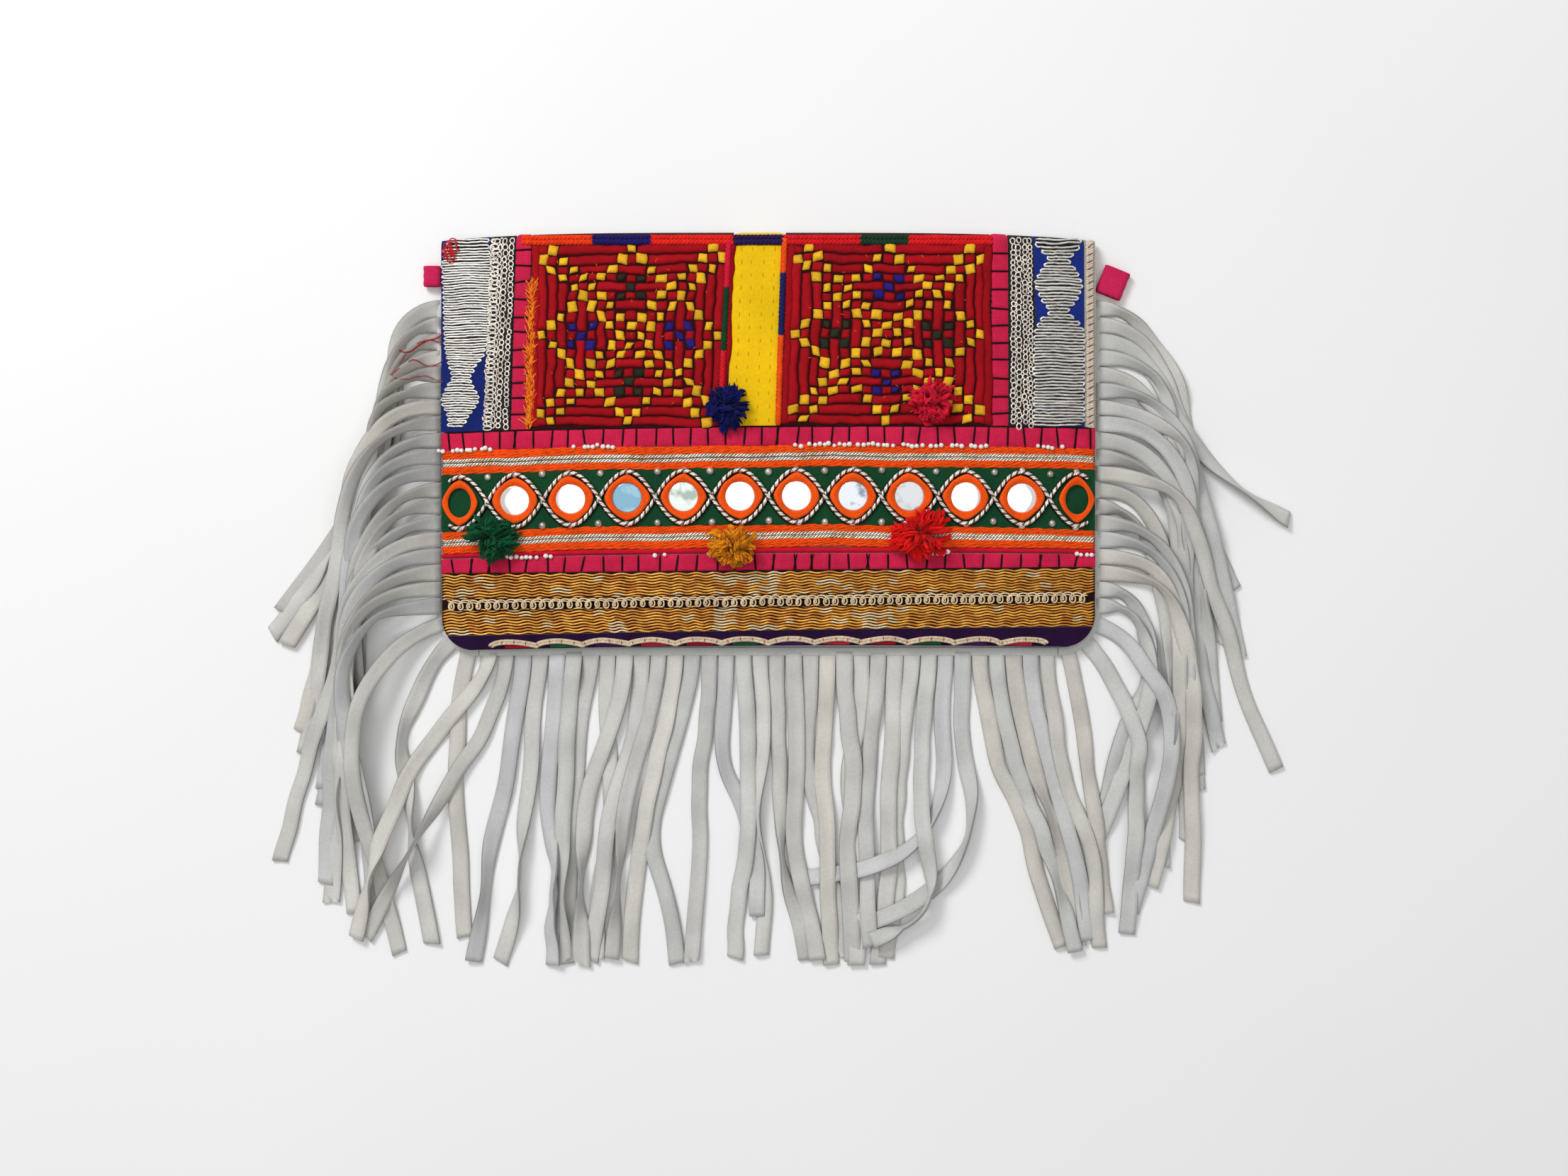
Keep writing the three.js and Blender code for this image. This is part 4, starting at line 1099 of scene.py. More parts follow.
orange_cord(1, "pinkEnd", "cord1End")
silver_rope(1, "cord1End", "silver1End")
orange_cord(2, "silver1End", "cord2End")
orange_cord(3, "mirrorEnd", "cord3End")
silver_rope(2, "cord3End", "silver2End")
orange_cord(4, "silver2End", "cord4End")


def soft_cloth(a, b, x, y):
    return FIT_GAP + PATCH * 0.9 + 0.1 * smooth_noise(x, y, 7, 91)


green = band_parts("cord2End", "mirrorEnd", 150, 11, soft_cloth, cloth_tint((22, 74, 44), 92))
add_piece("green_cloth_band", green, CLOTH, "green_cloth", "mirror_band")


def piping_relief(a, b, x, y):
    return FIT_GAP + 1.5 * np.sqrt(np.clip(1 - np.abs(2 * b - 1) ** 2.4, 0.02, 1))


piping = band_parts("cord4End", "crimsonEnd", 300, 7, piping_relief, cloth_tint((216, 22, 52), 93))
add_piece("crimson_cloth_piping", piping, CLOTH, "crimson_cloth", "crimson_piping")

purple = band_parts("goldEnd", "hem", 260, 9, soft_cloth, cloth_tint((42, 14, 56), 94, 0.2))
add_piece("purple_cloth_hem", purple, CLOTH, "purple_cloth", "purple_hem")

# Gold band: rows of gold thread over a dark cloth


def gold_rows():
    base = band_parts("lowerPinkEnd", "goldEnd", 240, 12, FIT_GAP + 0.7,
                      cloth_tint((38, 18, 14), 95))
    add_piece("gold_band_cloth", base, CLOTH, "gold_thread", "gold_band")
    parts = Parts()
    rows = 21
    u = np.linspace(-1 + 0.6 / HALF, 1 - 0.6 / HALF, 290)
    for k in range(rows):
        share = (k + 0.5) / rows
        if abs(share - 0.5) < 0.075:
            continue
        y = seam_y("goldEnd", u) * (1 - share) + seam_y("lowerPinkEnd", u) * share
        flat_x = u * HALF
        sway = 0.34 * np.sin(flat_x / 8.2 * 2 * math.pi + 2.2 * smooth_noise(flat_x, y, 40, 96))
        column = np.floor(flat_x / 4.6 + 0.5 * smooth_noise(flat_x, flat_x * 0, 30, 102))
        brick = 0.07 * np.cos((column + k) * math.pi)
        y = y + sway + 0.1 * smooth_noise(flat_x, y, 5, 97)
        x = flap_x(u, y)
        lift = FIT_GAP + PATCH + 0.05 + brick
        block = np.floor(column / 1.0) * 39.346 + (k // 2) * 11.135
        chance = np.sin(block) * 9631.7
        chance = chance - np.floor(chance)
        often = 0.05 + 0.7 * np.clip(smooth_noise(x, x * 0, 33, 98) - 0.2, 0, 1)
        worn = (chance < often).astype(float)[:, None]
        gold = np.array(srgb(248, 184, 76))
        pale = np.array(srgb(236, 206, 156))
        rust = np.array(srgb(206, 128, 44))
        pick = np.sin(column * 12.9898 + k * 78.233) * 43758.5453
        pick = pick - np.floor(pick)
        mix = np.clip(pick * 1.3 - 0.15 + 0.5 * smooth_noise(x, y, 8, 100), 0, 1)[:, None]
        tint = (gold * mix + rust * (1 - mix)) * (1 - worn) + pale * worn
        tint = np.clip(tint * (1 + 0.06 * rng.standard_normal((len(u), 1))), 0, 1)
        parts.tube(place(x, y, lift), 0.43, 5, 1.0, tint=tint)
    add_piece("gold_thread_rows", parts, GOLD, "gold_thread")


gold_rows()


def coil_chain():
    parts = Parts()
    pitch = 3.9
    turns = int((FLAP_WIDTH - 6) / pitch)
    angle = np.linspace(0, 2 * math.pi * turns, turns * 15)
    for size, lag, rise, wire in ((2.05, 0.0, 0.1, 0.36), (1.15, 0.5, 0.35, 0.27)):
        around = angle + lag
        hand = 1 + 0.14 * smooth_noise(angle, angle * 0, 9, 104 + int(size * 10))
        x = -HALF + 2.8 + pitch * angle / (2 * math.pi) + size * hand * np.sin(around)
        x = x + 0.3 * smooth_noise(angle, angle * 0, 16, 105)
        u = x / HALF
        y = (seam_y("lowerPinkEnd", u) + seam_y("goldEnd", u)) / 2 + size * hand * np.cos(around)
        y = y + 0.3 * smooth_noise(x, x * 0, 19, 106)
        lift = TRIM_LIFT + 0.35 + rise + 0.28 * np.cos(around)
        shade = 1 + 0.1 * rng.standard_normal((len(angle), 1))
        tint = np.clip(np.array(srgb(238, 212, 172)) * shade, 0, 1)
        parts.tube(place(x, y, lift), wire, 5, tint=tint)
    u = np.linspace(-0.97, 0.97, 120)
    for sign in (-1, 1):
        y = (seam_y("lowerPinkEnd", u) + seam_y("goldEnd", u)) / 2 + sign * 2.45
        parts.tube(place(u * HALF, y, TRIM_LIFT), 0.28, 5, tint=srgb(40, 26, 24))
    add_piece("coil_chain", parts, THREAD, "beige_braid", "loop_chain")


coil_chain()

# Scalloped braid on the hem

SCALLOPS = 12
HEM_REACH = 1 - FLAP_CORNER / HALF


def scallop_line(u):
    phase = (u / HEM_REACH + 1) / 2 * SCALLOPS
    arch = np.abs(np.sin(phase * math.pi)) ** 0.8
    return seam_y("hem", u) + 1.8 + arch * 1.8 - 0.5


def scalloped():
    parts = Parts()
    u = np.linspace(-HEM_REACH, HEM_REACH, 620)
    y = scallop_line(u) + 0.12 * smooth_noise(u * HALF, u * 0, 9, 101)
    x = flap_x(u, y)
    centre = place(x, y, TRIM_LIFT + 0.45)
    tangent = np.gradient(centre, axis=0)
    tangent /= np.linalg.norm(tangent, axis=1, keepdims=True)
    side = np.cross(tangent, [0, 0, 1.0])
    s = arc_length(centre)
    for k, offset in enumerate((-0.55, 0.55)):
        rise = 0.18 * np.sin(s / 2.4 * 2 * math.pi + k * math.pi)
        path = centre + side * offset + np.array([0, 0, 1.0]) * rise[:, None]
        shade = 1 + 0.06 * rng.standard_normal((len(u), 1))
        tint = np.clip(np.array(srgb(218, 198, 170)) * shade, 0, 1)
        parts.tube(path, 0.62, 6, 0.75, tint=tint)
    for s0 in np.arange(0, s[-1], 5.2):
        k = int(np.searchsorted(s, s0))
        middle = centre[min(k, len(centre) - 1)] + np.array([0, 0, 0.6])
        across = side[min(k, len(centre) - 1)]
        t = np.linspace(-1, 1, 4)[:, None]
        parts.tube(middle + across * t * 0.9, 0.15, 5, tint=srgb(170, 40, 50))
    add_piece("scallop_cord", parts, THREAD, "beige_braid", "scalloped_braid")
    slivers = Parts()
    colors = [(170, 24, 40), (30, 92, 54), (70, 30, 90), (200, 40, 60)]
    for k in range(SCALLOPS):
        middle = (-1 + 2 * (k + 0.5) / SCALLOPS) * HEM_REACH
        width = 0.52 / SCALLOPS
        u = np.linspace(middle - width, middle + width, 14)
        low = seam_y("hem", u) + 0.5
        high = scallop_line(u) - 0.5
        y = np.stack([low, (low + high) / 2, high], axis=1)
        grid = place(np.repeat(flap_x(u, low)[:, None], 3, axis=1), y, FIT_GAP + PATCH + 0.2)
        under = place(np.repeat(flap_x(u, low)[:, None], 3, axis=1), y, FIT_GAP + PATCH - 0.2)
        slivers.slab(grid, under, srgb(*colors[k % len(colors)]))
    add_piece("scallop_slivers", slivers, CLOTH, "crimson_cloth")


scalloped()

# Mirror units

UNITS = 12
FIRST_UNIT = -0.94
LAST_UNIT = 0.94
UNIT_PITCH = (LAST_UNIT - FIRST_UNIT) / (UNITS - 1) * HALF
MIRROR_RADIUS = 6.7
RING_REACH = 9.8
RING_HEIGHT = 2.0
WAVE_HEIGHT = 11.1
DIAMOND_POWER = 1.48
RIM_SQUEEZE = 0.8


def unit_u(i):
    return FIRST_UNIT + (LAST_UNIT - FIRST_UNIT) * i / (UNITS - 1)


def band_middle(u):
    return (seam_y("cord2End", u) + seam_y("mirrorEnd", u)) / 2


def diamond_reach(angle):
    total = np.abs(np.cos(angle)) ** DIAMOND_POWER + np.abs(np.sin(angle)) ** DIAMOND_POWER
    return RING_REACH / total ** (1 / DIAMOND_POWER)


def yarn_ring(index, squeeze):
    """A ring of yarn worked in two rows, with its stitches across it."""
    parts = Parts()
    u = unit_u(index)
    stitches = 44
    angle = np.linspace(0, 2 * math.pi, stitches * 3, endpoint=False)
    section = np.linspace(0, 2 * math.pi, 10, endpoint=False)
    inner = MIRROR_RADIUS - 0.5
    twist = 0.25
    turn = 0.07 * math.sin(index * 2.3)
    points = np.zeros((len(angle), len(section), 3))
    tint = np.zeros((len(angle), len(section), 3))
    hand = 0.42 * smooth_noise(np.cos(angle) * 8, np.sin(angle) * 8, 9, 110 + index)
    for k, s in enumerate(section):
        out = (math.cos(s) + 1) / 2
        up = (math.sin(s) + 1) / 2
        reach = inner * (1 - out) + (diamond_reach(angle + turn) + hand) * out
        groove = -0.28 * math.exp(-((out - 0.42) / 0.10) ** 2) if up > 0.5 else 0
        ridge = 0.13 * np.sin(stitches * (angle + twist * out)) * up
        x = u * HALF + reach * np.cos(angle) * squeeze
        y = band_middle(u) + reach * np.sin(angle)
        lift = TRIM_LIFT + up * (RING_HEIGHT - 0.1) * (0.75 + 0.25 * out) + groove + ridge
        points[:, k] = place(x, y, lift)
        # painted light and shade: lighter on the tops of the stitch ridges, darker between them and in the
        # groove between the two rows
        shade = 1.0 + 0.8 * ridge + groove * 0.9
        tint[:, k] = np.array(srgb(255, 90, 18)) * np.clip(shade, 0.4, 1.1)[:, None]
    parts.grid(points, closed_u=True, closed_v=True, tint=tint)
    name = f"ring_{index + 1:02d}"
    add_piece("yarn_" + name, parts, YARN, "orange_yarn", name)


MIRRORS = [
    ((0.86, 0.85, 0.80), (0.78, 0.77, 0.70), 0.10), ((1.0, 1.0, 1.0), (0.98, 0.98, 1.0), 0.04),
    ((0.20, 0.38, 0.52), (0.30, 0.50, 0.62), 0.12), ((0.74, 0.80, 0.77), (0.36, 0.44, 0.38), 0.22),
    ((1.0, 1.0, 1.0), (0.9, 0.95, 1.0), 0.04), ((1.0, 1.0, 1.0), (0.98, 0.98, 1.0), 0.04),
    ((0.70, 0.74, 0.78), (0.24, 0.28, 0.36), 0.18), ((0.62, 0.64, 0.66), (0.50, 0.50, 0.52), 0.15),
    ((1.0, 1.0, 1.0), (0.96, 0.97, 1.0), 0.04), ((1.0, 1.0, 1.0), (0.98, 0.98, 1.0), 0.04),
]


def mirror_piece(index):
    """A thin round glass with a ground edge, tilted a little in its ring."""
    parts = Parts()
    u = unit_u(index)
    radii = np.array([0, 0.3, 0.6, 0.9, 1.0, 1.0]) * (MIRROR_RADIUS - 0.15)
    rises = np.array([1, 1, 1, 0.97, 0.75, 0.0]) * 0.9
    angle = np.linspace(0, 2 * math.pi, 40, endpoint=False)
    tilt = rng.normal(0, 0.006, 2)
    rings = []
    for radius, rise in zip(np.maximum(radii, 0.02), rises):
        x = u * HALF + radius * np.cos(angle)
        y = band_middle(u) + radius * np.sin(angle)
        lift = TRIM_LIFT + rise + (x - u * HALF) * tilt[0] + (y - band_middle(u)) * tilt[1]
        rings.append(place(x, y, lift))
    parts.grid(np.array(rings), closed_v=True)
    color, spots, rough = MIRRORS[index - 1]
    material = mirror_material(f"mirror_glass_{index:02d}", color, spots, rough)
    name = f"mirror_{index:02d}"
    add_piece("glass_" + name, parts, material, "mirror", name)


for unit in range(UNITS):
    open_unit = unit in (0, UNITS - 1)
    yarn_ring(unit, RIM_SQUEEZE if open_unit else 1)
    if not open_unit:
        mirror_piece(unit)


def diamond_rope():
    parts = Parts()
    reach = LAST_UNIT + UNIT_PITCH / HALF * 0.2
    u = np.linspace(-reach, reach, 580)
    for sign in (1, -1):
        phase = (u - FIRST_UNIT) * HALF / UNIT_PITCH * math.pi
        wave = np.cos(phase)
        round_wave = np.sign(wave) * np.abs(wave) ** 0.92
        y = band_middle(u) + sign * (WAVE_HEIGHT * round_wave)
        y = y + 0.2 * smooth_noise(u * HALF, u * 0, 17, 120 + sign)
        over = 0.25 * sign * np.sin(phase)
        centre = place(u * HALF, y, TRIM_LIFT + 0.75 + over)
        black = srgb(26, 24, 20)
        for k in range(3):
            color = srgb(255, 250, 240) if k < 2 else srgb(112, 88, 66)
            s = arc_length(centre)
            tangent = np.gradient(centre, axis=0)
            tangent /= np.linalg.norm(tangent, axis=1, keepdims=True)
            side = np.cross(tangent, [0, 0, 1.0])
            lift = np.cross(side, tangent)
            angle = s / 3.1 * 2 * math.pi + 2 * math.pi * k / 3
            offset = 0.5 * (np.cos(angle)[:, None] * side + np.sin(angle)[:, None] * lift)
            shade = 1 + 0.12 * rng.standard_normal((len(u), 1))
            parts.tube(centre + offset, 0.48, 5, tint=np.clip(np.array(color) * shade, 0, 1))
        edge = centre.copy()
        edge[:, 2] -= 0.55
        parts.tube(edge, 1.3, 5, 0.3, tint=black)
    add_piece("diamond_rope", parts, SILVER, "silver_wire", "diamond_braid")


diamond_rope()


def dome_beads():
    parts = Parts()
    thetas = np.linspace(0.02, math.pi / 2, 6)
    angle = np.linspace(0, 2 * math.pi, 14, endpoint=False)
    spots = []
    for k in range(2 * UNITS - 1):
        u = FIRST_UNIT + (LAST_UNIT - FIRST_UNIT) * k / (2 * UNITS - 2)
        peak = k % 2 == 0
        reach = 12.3 if peak else 10.6
        spots.append((u, reach + rng.normal(0, 0.3)))
        spots.append((u, -reach + rng.normal(0, 0.3)))
    for u, reach in spots:
        x0 = u * HALF + rng.normal(0, 0.5)
        y0 = float(band_middle(u)) + reach
        high = float(seam_y("cord2End", u)) - 1.3
        low = float(seam_y("mirrorEnd", u)) + 1.3
        y0 = min(max(y0, low), high)
        rings = []
        size = rng.uniform(1.45, 1.65)
        for theta in thetas:
            x = x0 + size * math.sin(theta) * np.cos(angle)
            y = y0 + size * math.sin(theta) * np.sin(angle)
            rings.append(place(x, y, TRIM_LIFT - 0.3 + size * math.cos(theta)))
        bright = rng.uniform(0.4, 1) ** 0.7
        tint = np.array(srgb(236, 230, 220)) * bright + np.array(srgb(120, 92, 78)) * (1 - bright)
        parts.grid(np.array(rings), closed_v=True, tint=tint)
    add_piece("dome_beads", parts, BEAD, "silver_wire")


dome_beads()

# Pompoms


def pompom_piece(name, u, down, width, length, lift, color, tail, node):
    """A tied bundle of yarn ends. Most spread out from the knot, and a few fold into its tail."""
    local = np.random.default_rng(len(name) * 13 + int(width))
    parts = Parts()
    x0 = u * HALF
    y0 = TOP_Y - down * FLAP_HEIGHT
    z0 = float(crown(x0, y0)) + lift
    base = np.array(srgb(*color))
    clumps = local.uniform(0, 2 * math.pi, 19)
    for _ in range(110):
        azimuth = local.choice(clumps) + local.normal(0, 0.26)
        pitch = math.asin(local.uniform(0.0, 0.98)) * 0.9
        reach = local.uniform(0.72, 1.05)
        bend = local.normal(0, 1.6, 3)
        tone = base * (1 + 0.16 * local.standard_normal())
        for _ in range(4):
            way = azimuth + local.normal(0, 0.07)
            rise = min(max(pitch + local.normal(0, 0.07), 0.0), 1.45)
            far = reach * local.uniform(0.90, 1.04)
            tip = np.array([math.cos(way) * width / 2 * math.cos(rise),
                            math.sin(way) * length / 2 * math.cos(rise),
                            9.4 * math.sin(rise) + 0.9]) * far
            start = tip * 0.10
            t = np.linspace(0, 1, 6)[:, None]
            sway = bend + local.normal(0, 0.35, 3)
            path = start + (tip - start) * t + sway * np.sin(math.pi * t * 0.85)
            path[:, 2] = np.clip(path[:, 2] + 0.8 * np.sin(math.pi * t[:, 0]), 0.5, 10.4)
            # painted shade: each strand is darker near the knot, where the strands crowd, and lighter
            # towards its tip
            shade = 0.42 + 0.72 * t + 0.08 * local.standard_normal()
            radius = local.uniform(0.46, 0.62) * np.array([0.8, 0.9, 1, 1, 1, 0.95])
            parts.tube(path + [x0, y0, z0], radius, 4, tint=np.clip(tone * shade, 0, 1))
    if tail:
        tx, ty, size = tail
        for k in range(26):
            spread = local.normal(0, size * 0.3, 2)
            end = np.array([tx + spread[0], ty + spread[1], local.uniform(0.8, size * 0.8)])
            t = np.linspace(0, 1, 7)[:, None]
            path = end * t
            path[:, 2] += 1.4 * np.sin(math.pi * t[:, 0]) + 0.6
            # painted shade: the tail strands are darker near the knot too
            shade = np.clip(0.75 + 0.3 * t + 0.1 * local.standard_normal(), 0.4, 1.25)
            parts.tube(path + [x0, y0, z0], 0.62, 5, tint=np.clip(base * shade, 0, 1))
    add_piece(name, parts, YARN, name.replace("_tuft", "_yarn"), node)


ON_PATCH = FIT_GAP + PATCH + FIT_GAP
ON_CORDS = FIT_GAP + CORD_HEIGHT + FIT_GAP
for name, u, down, width, length, lift, color, tail, node in (
    ("navy_tuft", -0.119, 0.416, 21, 20, ON_PATCH, (12, 18, 92), (-2, -10, 3), "navy_pompom"),
    ("pink_tuft", 0.499, 0.404, 20, 19, ON_PATCH, (222, 22, 56), (2, -8, 2.5), "pink_pompom"),
    ("green_tuft", -0.842, 0.73, 26, 21, ON_CORDS, (6, 84, 50), (3, -8, 3), "green_pompom"),
    ("mustard_tuft", -0.106, 0.749, 24, 18, ON_CORDS, (226, 142, 14), (-3.5, -6.5, 3.6),
     "mustard_pompom"),
    ("red_tuft", 0.464, 0.722, 29, 23, ON_CORDS, (236, 20, 16), (-1.5, -11, 2.6), "red_pompom"),
):
    pompom_piece(name, u, down, width, length, lift, color, tail, node)

# Ribbon loops

for name, side, drop, reach, width, lean, node in (
    ("left_ribbon", -1, 11, 7.8, 8.6, 0, "left_ribbon_loop"),
    ("right_ribbon", 1, 12, 11.5, 12, 22, "right_ribbon_loop"),
):
    parts = Parts()
    turn = math.radians(lean)
    lead = width * math.sin(turn)
    outline = []
    depth = 4.6
    for thick, backwards in ((0.0, False), (0.9, True)):
        radius = depth / 2 - thick
        line = []
        for t in np.linspace(-math.pi / 2, math.pi / 2, 12):
            line.append((reach - depth / 2 + radius * math.cos(t), depth / 2 + radius * math.sin(t)))
        for t in np.linspace(math.pi / 2, 3 * math.pi / 2, 12):
            line.append((depth / 2 + radius * math.cos(t), depth / 2 + radius * math.sin(t)))
        outline.append(np.array(line))
    along = np.linspace(0, 1, 10)
    loops = []
    for line in outline:
        rows = []
        for t in along:
            crease = 0.12 * math.sin(t * 17)
            px = line[:, 0] + crease * (line[:, 0] > 1)
            py = -t * width
            x = px * math.cos(turn) + py * math.sin(turn) * 1
            y = -px * math.sin(turn) + py * math.cos(turn)
            rows.append(np.stack([x, np.broadcast_to(y, x.shape), line[:, 1]], axis=1))
        loops.append(np.array(rows))
    ring = np.concatenate([loops[0], loops[1][::-1]])
    ring = np.concatenate([ring, ring[:1]])
    ring[..., 0] = side * (ring[..., 0] + HALF + FIT_GAP + lead)
    ring[..., 1] += FOLD_LINE - drop + width / 2
    ring[..., 2] += 0.1
    shade = 1 + 0.08 * smooth_noise(ring[..., 0], ring[..., 1], 5, 140)[..., None]
    parts.grid(ring, closed_v=True, tint=np.clip(np.array(srgb(222, 40, 94)) * shade, 0, 1),
               flip=side > 0)
    add_piece(name, parts, CLOTH, "pink_cloth", node)

# Fringe. Each row is one strip: its lean at five stations, and its length as a share.

BOTTOM_STATIONS = (0.1, 0.3, 0.5, 0.7, 0.9)
SIDE_STATIONS = (0.06, 0.18, 0.35, 0.6, 0.9)
BOTTOM_STRIPS = [
    [-37, -39, -26, -18, -14, 1.02],
    [-18, -34, -25, -31, -28, 1.02],
    [-9, -10, -8, -11, -10, 1],
    [-11, 0, -7, -8, -14, 1],
    [-4, -5, -3, 5, 2, 1],
    [-8, -1, -5, -2, 5, 0.99],
    [-13, -6, -3, -2, -2, 1],
    [-4, 8, -5, -6, -4, 0.98],
    [-9, -15, -15, -4, 2, 1.01],
    [-6, -17, -10, -8, -7, 1],
    [-10, -16, -10, -5, -5, 0.99],
    [-9, -14, -11, -6, -3, 1],
    [-13, -16, -16, 21, 7, 1.02],
    [-2, -5, -3, -2, -5, 0.99],
    [-2, -6, 25, 16, 0, 0.86],
    [6, 0, 0, -8, -6, 0.98],
    [6, -4, -7, 7, 0, 0.97],
    [3, 1, -4, 1, 2, 1],
    [-1, 3, 5, 12, 8, 0.99],
    [3, 1, -6, 10, 13, 0.99],
    [0, 3, 8, 13, 10, 0.98],
    [-2, -6, 3, 5, 3, 1],
    [2, 3, -4, 5, 2, 0.99],
    [-2, -5, 2, 3, -3, 1],
    [-3, -5, -5, 0, 5, 0.94],
    [-4, -3, 1, -3, -8, 1],
    [-8, -6, -5, -3, -5, 0.98],
    [-7, -2, -2, 16, -70, 1.02],
    [-7, 9, -25, -65, -85, 1.04],
    [1, 10, -5, -40, -68, 1.04],
    [7, 15, 18, 20, 20, 0.98],
    [8, 15, 18, 19, 15, 0.99],
    [9, 13, 16, 15, 12, 0.96],
    [7, 15, 15, 12, 8, 0.94],
    [7, 12, 15, 10, 8, 0.96],
]
LEFT_STRIPS = [
    [-62, -5, -2, -34, -37, 1],
    [-66, -10, -2, -33, -37, 1.03],
    [-66, -14, -2, -30, -32, 0.99],
    [-70, -24, -4, -17, -21, 0.89],
    [-77, -22, -10, -11, -17, 0.95],
    [-77, -22, -6, -10, -21, 1.01],
    [-80, -34, -9, -14, -15, 1.05],
    [-78, -39, -12, -10, -12, 1.06],
    [-78, -30, -5, -1, -15, 1.02],
    [-79, -39, -3, -8, -10, 1.06],
    [-75, -30, -10, 1, -11, 1.02],
    [-79, -31, -8, -7, 0, 0.99],
    [-76, -36, -10, -3, 6, 1.01],
    [-77, -40, -10, -23, -14, 1.06],
    [-81, -44, -4, -11, -2, 1.06],
    [-81, -41, -7, -4, -5, 1.06],
    [-85, -51, 3, -5, 6, 1.06],
    [-79, -52, 2, 12, -3, 1.06],
]
LEFT_CORNER = [
    [-60, -40, -11, 14, 14, 1.03],
    [-36, -24, -6, 10, 10, 0.88],
    [-12, -8, -1, 4, 4, 0.8],
]
RIGHT_CORNER = [
    [12, 11, 9, 6, 6, 0.74],
    [36, 26, 10, -4, -4, 0.85],
    [60, 40, 11, -14, -14, 0.9],
]
RIGHT_STRIPS = [
    [86, 28, -5, -20, -21, 0.79],
    [85, 37, -10, -21, -12, 0.75],
    [82, 40, 10, -2, 2, 1.06],
    [82, 39, -1, -2, -14, 1.06],
    [86, 39, 9, -16, -1, 1.06],
    [84, 42, 7, -1, 0, 1.03],
    [78, 37, 13, 8, 7, 0.71],
    [81, 35, 8, 6, 13, 0.84],
    [80, 54, 20, 16, 23, 1.03],
    [78, 35, 6, 4, 4, 1.06],
    [85, 44, 8, 1, 14, 1.06],
    [77, 50, 7, 9, 5, 1.02],
    [87, 52, 19, 15, 12, 0.92],
    [79, 40, 16, 17, 8, 0.88],
    [86, 42, 12, 23, 26, 0.8],
    [81, 45, 18, 46, 58, 0.76],
    [78, 41, 18, 12, 22, 0.83],
    [79, 44, 20, 13, 16, 0.76],
]
STRIP_WIDTH = 7.0
STRIP_THICKNESS = 1.15
STRIP_PITCH = 7.25
BOTTOM_LENGTH = 135
SIDE_LENGTH = 155
HEADER_WIDTH = 3.6
HEADER_THICKNESS = 1.3
HEADER_LIFT = 1
FRINGE_TOP = 62
RUN_GAP = 1
HEADER_END = FIT_GAP + HEADER_WIDTH
ROOT_OUT = HEADER_END - HEADER_WIDTH / 2
SIDE_RUN = FRINGE_TOP - (BODY_BOTTOM + FLAP_CORNER)
CORNER_RUN = FLAP_CORNER * math.pi / 2
BOTTOM_RUN = 2 * (BODY_HALF - FLAP_CORNER)
RIM_RUN = 2 * SIDE_RUN + 2 * CORNER_RUN + BOTTOM_RUN
CORNER_END = SIDE_RUN + CORNER_RUN
PATH_STEPS = 58


def rim_place(run, out):
    mirrored = run > RIM_RUN / 2
    side = 1 if mirrored else -1
    r = RIM_RUN - run if mirrored else run
    cx = side * (BODY_HALF - FLAP_CORNER)
    cy = BODY_BOTTOM + FLAP_CORNER
    if r < SIDE_RUN:
        return side * (BODY_HALF + out), FRINGE_TOP - r, side * 90.0
    if r < CORNER_END:
        lean = side * 90 * (1 - (r - SIDE_RUN) / CORNER_RUN)
        angle = math.radians(lean)
        reach = FLAP_CORNER + out
        return cx + math.sin(angle) * reach, cy - math.cos(angle) * reach, lean
    x = side * (BODY_HALF - FLAP_CORNER - (r - SIDE_RUN - CORNER_RUN))
    return x, BODY_BOTTOM - out, 0.0


def strip_path(root, row, stations, run_length):
    x, y, lean0 = root
    length = run_length * row[len(stations)]
    knots = [0, *stations, 1]
    leans = [lean0, *row[:len(stations)], row[len(stations) - 1]]
    s = (np.arange(PATH_STEPS) + 0.5) / PATH_STEPS
    lean = np.interp(s, knots, leans)
    kernel = np.ones(5) / 5
    lean = np.convolve(np.pad(lean, 2, mode="edge"), kernel, mode="valid")
    angle = np.radians(lean)
    step = length / PATH_STEPS
    xs = np.concatenate([[x], x + np.cumsum(np.sin(angle)) * step])
    ys = np.concatenate([[y], y - np.cumsum(np.cos(angle)) * step])
    leans = np.concatenate([[lean0], lean])
    return xs, ys, leans, length


def roots_along(start, end, rows, stations, run_length):
    count = max(1, round((end - start) / STRIP_PITCH))
    made = []
    for i in range(count):
        root = rim_place(start + (end - start) * (i + 0.5) / count, ROOT_OUT)
        row = rows[min(len(rows) - 1, int((i + 0.5) / count * len(rows)))]
        made.append(strip_path(root, row, stations, run_length))
    return made


class HeightMap:
    """The top of what lies on the floor so far, on a grid of small cells."""

    def __init__(self, cell=0.7):
        self.cell = cell
        self.x0, self.y0 = -240.0, -240.0
        self.top = np.zeros((int(490 / cell), int(350 / cell)))

    def index(self, x, y):
        i = np.clip(((x - self.x0) / self.cell).astype(int), 0, self.top.shape[0] - 1)
        j = np.clip(((y - self.y0) / self.cell).astype(int), 0, self.top.shape[1] - 1)
        return i, j

    def at(self, x, y):
        return self.top[self.index(x, y)]

    def raise_to(self, x, y, z):
        np.maximum.at(self.top, self.index(x, y), z)

    def blurred(self, reach):
        """The map averaged over a square of cells this far each way."""
        total = self.top
        for axis in (0, 1):
            total = sum(np.roll(total, k, axis=axis) for k in range(-reach, reach + 1))
            total = total / (2 * reach + 1)
        return total


ground = HeightMap()


def smooth_along(values, width):
    kernel = np.hanning(width + 2)[1:-1]
    kernel /= kernel.sum()
    padded = np.pad(values, width // 2, mode="edge")
    return np.convolve(padded, kernel, mode="valid")[:len(values)]


